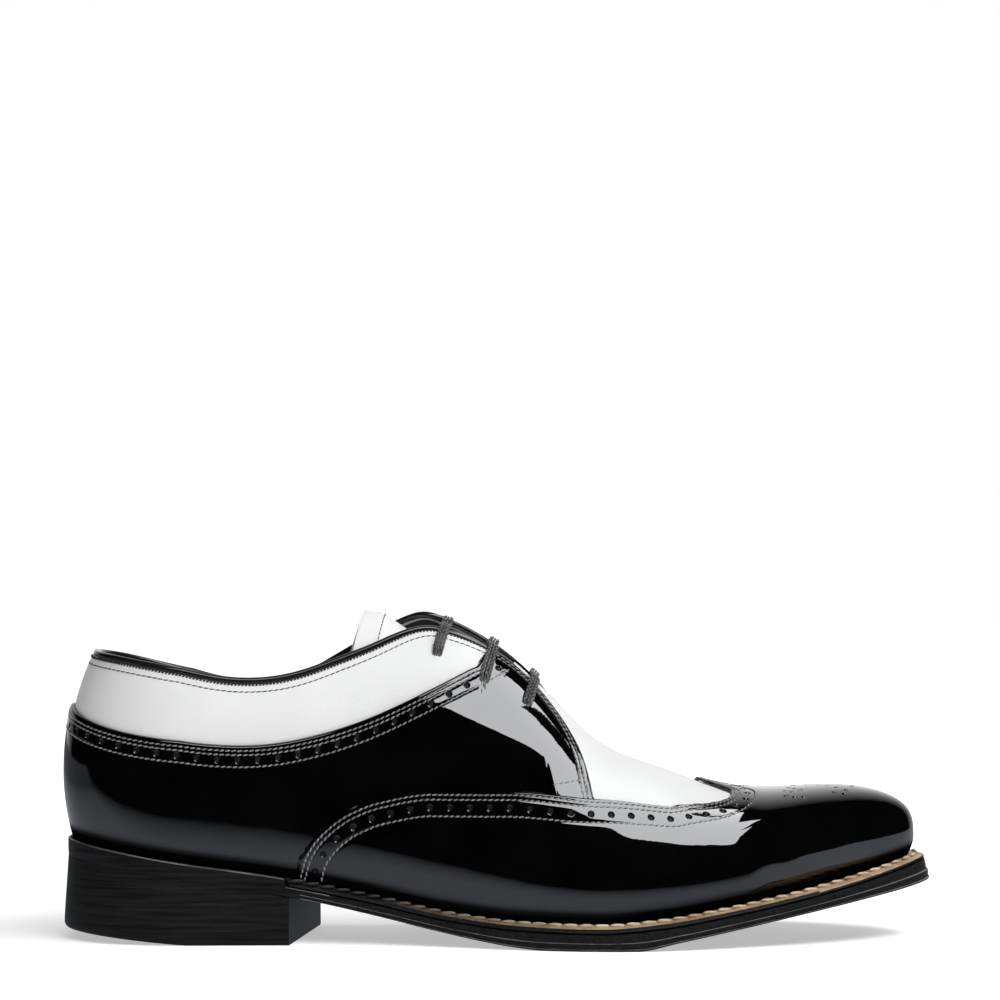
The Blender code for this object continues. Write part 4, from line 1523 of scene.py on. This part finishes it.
def faces_near(bm, holes, reach):
    """Faces whose middle lies within a reach, in hole radii, of any hole."""
    bm.faces.ensure_lookup_table()
    tree = search_tree([face.calc_center_median() for face in bm.faces])
    found = set()
    for middle, normal, size in holes:
        for centre, index, _ in tree.find_range(middle * MM, (reach * size + 2 * PIT_DEPTH) * MM):
            away = centre / MM - middle
            if (away - normal * away.dot(normal)).length < reach * size:
                found.add(index)
    return [bm.faces[index] for index in found]


def medallion_holes():
    holes = []
    for a, spread, size in MEDALLION:
        for side in (LATERAL, MEDIAL) if spread else (LATERAL,):
            spot = (side, a, level_at_spread(side, a, spread))
            holes.append((skin(*spot, wing_lift(a)), outward(*spot), size))
    return holes


def hang(side, a, spread):
    """Share of a lace's dip: whole on the ridge line, none from the bead of the facings outwards."""
    return max(0.0, 1 - (spread / (throat[side](min(a, THROAT_BEND)) - BEAD_WIDTH)) ** 2)


def lace_line(lace):
    """Middle line of a lace bar with its normals and width share, diving into the eyelets at both ends."""
    path = []
    for k in range(LACE_POINTS + 1):
        share = 2 * k / LACE_POINTS - 1
        side = MEDIAL if share > 0 else LATERAL
        a = lace["x"] + lace["lean"] * (1 - share * share)
        spread = abs(share) * lace["medial" if side == MEDIAL else "lateral"]
        rest = lace["seat"] + LACE_SEAT + LACE_HALF_THICK + STRAND_RADIUS
        lift = rest - lace["dip"] * hang(side, a, spread)
        end = max(0.0, (abs(share) - LACE_DIVE_START) / (1 - LACE_DIVE_START)) ** 2
        spot = (side, a, level_at_spread(side, a, spread))
        path.append((skin(*spot, lift - LACE_DIVE * end), outward(*spot), 1 - LACE_NARROW * end))
    return path


def make_laces():
    """Flat braided laces: strands side by side round an oval, each swelling where it comes to the top."""
    for number, row in enumerate(LACES, start=1):
        path = lace_line(dict(zip(LACE_COLUMNS, row)))
        run = SeamLine([point for point, _, _ in path], [normal for _, normal, _ in path]).runs
        cords = []
        middles = []
        shaded = []
        for strand in range(LACE_STRANDS):
            turn = 2 * math.pi * (strand + 0.5) / LACE_STRANDS
            points = []
            radii = []
            for k, (point, normal, width) in enumerate(path):
                along = path[min(k + 1, len(path) - 1)][0] - path[max(k - 1, 0)][0]
                across = normal.cross(along).normalized()
                wave = math.sin(2 * math.pi * run[k] / BRAID_PITCH + math.pi * strand)
                height = LACE_HALF_THICK * math.sin(turn) + STRAND_RADIUS * STRAND_SWELL * wave
                points.append(point + across * LACE_HALF_WIDTH * width * math.cos(turn) + normal * height)
                radii.append(STRAND_RADIUS * (1 + STRAND_SWELL * wave))
                middles.append(points[-1] * MM)
                # Dips of the braid get the painted shade, crests the painted highlight
                shaded.append(wave < STRAND_SHADE)
            cords.append(cord_rings(points, radii, STRAND_SIDES))
        strands = search_tree(middles)
        bm = ring_grid(*cords)
        for face in bm.faces:
            face.material_index = int(shaded[strands.find(face.calc_center_median())[1]])
        keep(bm, f"lace_{number}", "lace", (finishes["lace"], finishes["lace_shade"]), f"lace_bar_{number}")


# Pieces of the bottom

def plate_ring(sides, edge, low, high, shrink=None):
    """Ring of one cross-section: up the outer edge profile and down the inner one."""
    ring = []
    for side, a in sides:
        profile = edge if side == LATERAL else edge[::-1]
        less = shrink(side, a) if shrink else 0.0
        for share, extra in profile:
            x, y = outline(side, a, extra - less)
            ring.append((x, y, low(x) + (high(x) - low(x)) * share))
    return ring


def sole_top(x):
    """Top of the outsole: under the welt in front, under the heel seat behind."""
    if x < (SEAT_STEP_BACK + SEAT_STEP_FRONT) / 2:
        return foot(x) - GAP
    return foot(x) - 2 * GAP - WELT_THICK


def sole_stations():
    stations = toe_stations(SOLE_TOE) + spaced(TOE_START, SEAT_STEP_FRONT, SOLE_SPACING)
    return stations + [SEAT_STEP_FRONT] + spaced(SEAT_STEP_BACK, HEEL_AXIS, SEAT_SPACING) + heel_stations()


def tip_lean(a):
    """How far the edge leans back at its top, only round the toe's tip."""
    return TIP_LEAN * blend(a, TIP_LEAN_START, SOLE_TIP)


def make_outsole():
    """Sole with a lip and a ledge along its edge, plain under the heel seat."""
    rings = []
    for a in sole_stations():
        waist = max(0.0, 1 - ((a - WAIST_MIDDLE) / WAIST_REACH) ** 2)
        front = blend(a, SEAT_STEP_FRONT, WAIST_MIDDLE)
        edge = []
        for share, extra, plain in SOLE_EDGE:
            bevel = WAIST_BEVEL * waist * (1 - min(1.0, share / WAIST_BEVEL_SHARE))
            edge.append((share, plain + (extra - plain) * front - bevel - tip_lean(a) * share))
        rings.append(plate_ring(((LATERAL, a), (MEDIAL, a)), edge, tread, sole_top))
    bm = ring_grid(rings)
    paint_ledge_highlights(bm)
    keep(bm, "black_outsole", "sole_edge", (finishes["edge"], finishes["ledge_highlight"]), "outsole", sharp=30)


def paint_ledge_highlights(bm):
    """Give the narrow bevels that face half upwards a lighter grey, painted highlight where they catch the
    light.
    """
    for face in bm.faces:
        if LEDGE_FACING[0] < face.normal.z < LEDGE_FACING[1]:
            face.material_index = 1


def make_insole():
    rings = []
    for a in sole_stations():
        rings.append(plate_ring(((LATERAL, a), (MEDIAL, a)), INSOLE_EDGE,
                                lambda x: sole_top(x) + GAP,
                                lambda x: foot(x) + INSOLE_RISE, insole_shrink))
    keep(ring_grid(rings), "sock_lining", "insole", (finishes["insole"],), "insole")


def insole_shrink(side, a):
    """Sole edge to insole edge, clear inside the foot of the upper."""
    return inset(a) + tuck[side](a) + WALL + INSOLE_CLEAR


def make_heel():
    turns = heel_stations()
    steps = 16
    lateral = [HEEL_BREAST_LATERAL + (HEEL_AXIS - HEEL_BREAST_LATERAL) * k / steps for k in range(steps)]
    medial = [HEEL_BREAST_MEDIAL + (HEEL_AXIS - HEEL_BREAST_MEDIAL) * k / steps for k in range(steps)]
    rings = [plate_ring(((LATERAL, a), (MEDIAL, b)), HEEL_EDGE, heel_tread, lambda x: tread(x) - HEEL_SEAM)
             for a, b in zip(lateral + turns, medial + turns)]
    bm = ring_grid(rings)
    paint_ledge_highlights(bm)
    keep(bm, "stacked_heel", "heel", (finishes["heel"], finishes["ledge_highlight"]), "heel")


def heel_tread(x):
    """Tread of the heel: flat on the floor, eased up at the back."""
    return HEEL_BEVEL * max(0.0, (HEEL_BEVEL_START - x) / (HEEL_BEVEL_START - SOLE_BACK))


def welt_stations():
    return toe_stations(WELT_TOE) + spaced(TOE_START, WELT_END, SOLE_SPACING) + [WELT_END]


def welt_walk():
    """Stations of the welt from the outer breast round the toe to the inner one."""
    stations = welt_stations()
    return [(LATERAL, a) for a in reversed(stations)] + [(MEDIAL, a) for a in stations[1:]]


def welt_seat(side, a):
    """Growth at which the welt comes out from under the upper."""
    return 2 * (SEAM + OVERLAY) + WELT_CLEAR - inset(a) - tuck[side](a)


def make_welt():
    """Strip from breast to breast: flat under the upper, sloping down to the sole's edge."""
    rings = []
    for side, a in welt_walk():
        under = INSOLE_CLEAR - insole_shrink(side, a)
        edge = -WELT_EDGE - tip_lean(a)
        corner = [(edge + grow, drop - WELT_SLOPE) for grow, drop in reversed(WELT_CORNER)]
        rows = ((under, -WELT_THICK), (edge - WELT_ROUND, -WELT_THICK), (edge, WELT_ROUND - WELT_THICK),
                *corner, (welt_seat(side, a), 0.0), (under, 0.0))
        ring = []
        for grow, drop in rows:
            x, y = outline(side, a, grow)
            ring.append((x, y, foot(x) - GAP + drop))
        rings.append(ring)
    bm = ring_grid(rings)
    for face in bm.faces:
        if face.normal.z < WELT_TAN:
            face.material_index = 1
    keep(bm, "tan_welt", "welt", (finishes["welt"], finishes["edge"]), "welt")


def make_welt_stitches():
    """Long stitches in a row of humps against the foot of the upper."""
    points = []
    for side, a in welt_walk():
        x, y = outline(side, a, welt_seat(side, a) + WELT_STITCH_OUT)
        points.append(Vector((x, y, foot(x) - GAP)))
    row = SeamLine(points, [Vector((0.0, 0.0, 1.0))] * len(points))
    places = stitches(row, *WELT_ROW)
    keep(scatter(stitch_bead(), places), "welt_stitches", "welt", (finishes["welt_thread"],))


# Studio

def make_camera():
    data = bpy.data.cameras.new("photo_camera")
    data.lens = CAMERA_LENS
    data.sensor_width = SENSOR
    data.clip_end = 50.0
    camera = put("photo_camera", data)
    camera.location = CAMERA_PLACE
    camera.rotation_euler = (math.pi / 2, 0.0, 0.0)
    bpy.context.scene.camera = camera


def make_soft_card():
    """Large glowing card overhead, out of the camera's sight."""
    bm = bmesh.new()
    corners = [bm.verts.new((x, y, CARD_HEIGHT)) for x, y in CARD]
    bmesh.ops.contextual_create(bm, geom=corners)
    mesh = as_mesh(bm, "soft_card")
    material, shader, _ = finish("soft_card_glow", emission_strength=CARD_GLOW)
    plug(shader["Emission Color"], (0.97, 0.98, 1.0, 1.0))
    plug(shader["Base Color"], (0.0, 0.0, 0.0, 1.0))
    mesh.materials.append(material)
    card = put("soft_card", mesh)
    card.visible_camera = False


def make_fill():
    """Small lamp high beyond the toe that lifts the vamp; mirrors don't see it."""
    data = bpy.data.lights.new("back_fill", 'AREA')
    data.size = FILL_SIZE
    data.energy = FILL_ENERGY
    lamp = put("back_fill", data)
    lamp.location = FILL_PLACE
    lamp.rotation_euler = Vector(FILL_PLACE).to_track_quat('Z', 'Y').to_euler()
    lamp.visible_glossy = False


def make_floor():
    """Pale floor that glows white far behind; mirrors see it fade into the dark in front of the shoe."""
    bm = bmesh.new()
    bmesh.ops.create_grid(bm, x_segments=1, y_segments=1, size=FLOOR_SIZE)
    mesh = as_mesh(bm, "pale_floor")
    material, shader, coords = finish("pale_floor", roughness=0.9, emission_strength=1.0)
    plug(shader["Base Color"], coords.noise(3.0).ramp((0.0, (0.89, 0.89, 0.89)), (1.0, (0.91, 0.91, 0.91))))
    along, depth, _ = axes(coords)
    glow = (FLOOR_GLOW,) * 3
    plug(shader["Emission Color"], depth.span(*FLOOR_FAR).ramp((0.0, glow), (1.0, (1.0, 1.0, 1.0))))
    front = depth.span(FLOOR_DARK, FLOOR_PALE)
    left = along.span(*FLOOR_LEFT, FLOOR_LEFT_SHARE)
    mirrored = depth.node("ShaderNodeEmission", sockets={
        "Color": (front * left).ramp((0.0, (0.0, 0.0, 0.0)), (1.0, FLOOR_MIRRORED))})
    sight = Wire(material.node_tree.nodes.new("ShaderNodeLightPath").outputs["Is Glossy Ray"])
    mix_surface(material, sight, second=mirrored)
    mesh.materials.append(material)
    floor = put("pale_floor", mesh)


def make_world():
    """White to the camera; a white sweep behind and darkness in front for everything else."""
    world = bpy.data.worlds.new("studio")
    world.use_nodes = True
    bpy.context.scene.world = world
    tree = world.node_tree
    backdrop = tree.nodes["Background"]
    sight = Wire(tree.nodes.new("ShaderNodeLightPath").outputs["Is Camera Ray"])
    towards = Wire(tree.nodes.new("ShaderNodeTexCoord").outputs["Generated"])
    depth = towards.node("ShaderNodeSeparateXYZ", sockets={0: towards}, output=1)
    sweep = depth.span(*SWEEP_STRETCH, 0.0, SWEEP_GLOW)
    plug(backdrop.inputs["Strength"], sweep * (1 - sight) + sight)
    backdrop.inputs["Color"].default_value = (1.0, 1.0, 1.0, 1.0)


def make_studio():
    make_camera()
    make_floor()
    make_world()
    bpy.context.scene.view_settings.view_transform = 'Standard'
    make_soft_card()
    make_fill()


finishes = make_finishes()
quarter_walk = quarter_edge()
quarter_tree = nearest_on(quarter_walk)
facing_tree = nearest_on([spot for spot in quarter_walk if spot[1] > QUARTER_CORNER_FRONT])
wing_walk = wing_edge()
wing_tree = nearest_on(wing_walk)
collar_walk = collar_edge()
collar_tree = nearest_on(collar_walk)

make_studio()
make_outsole()
make_welt()
make_welt_stitches()
make_heel()
make_insole()
make_upper()
make_quarter()
make_wing_cap()
make_tongue()
make_collar_binding()
make_seams()
make_laces()
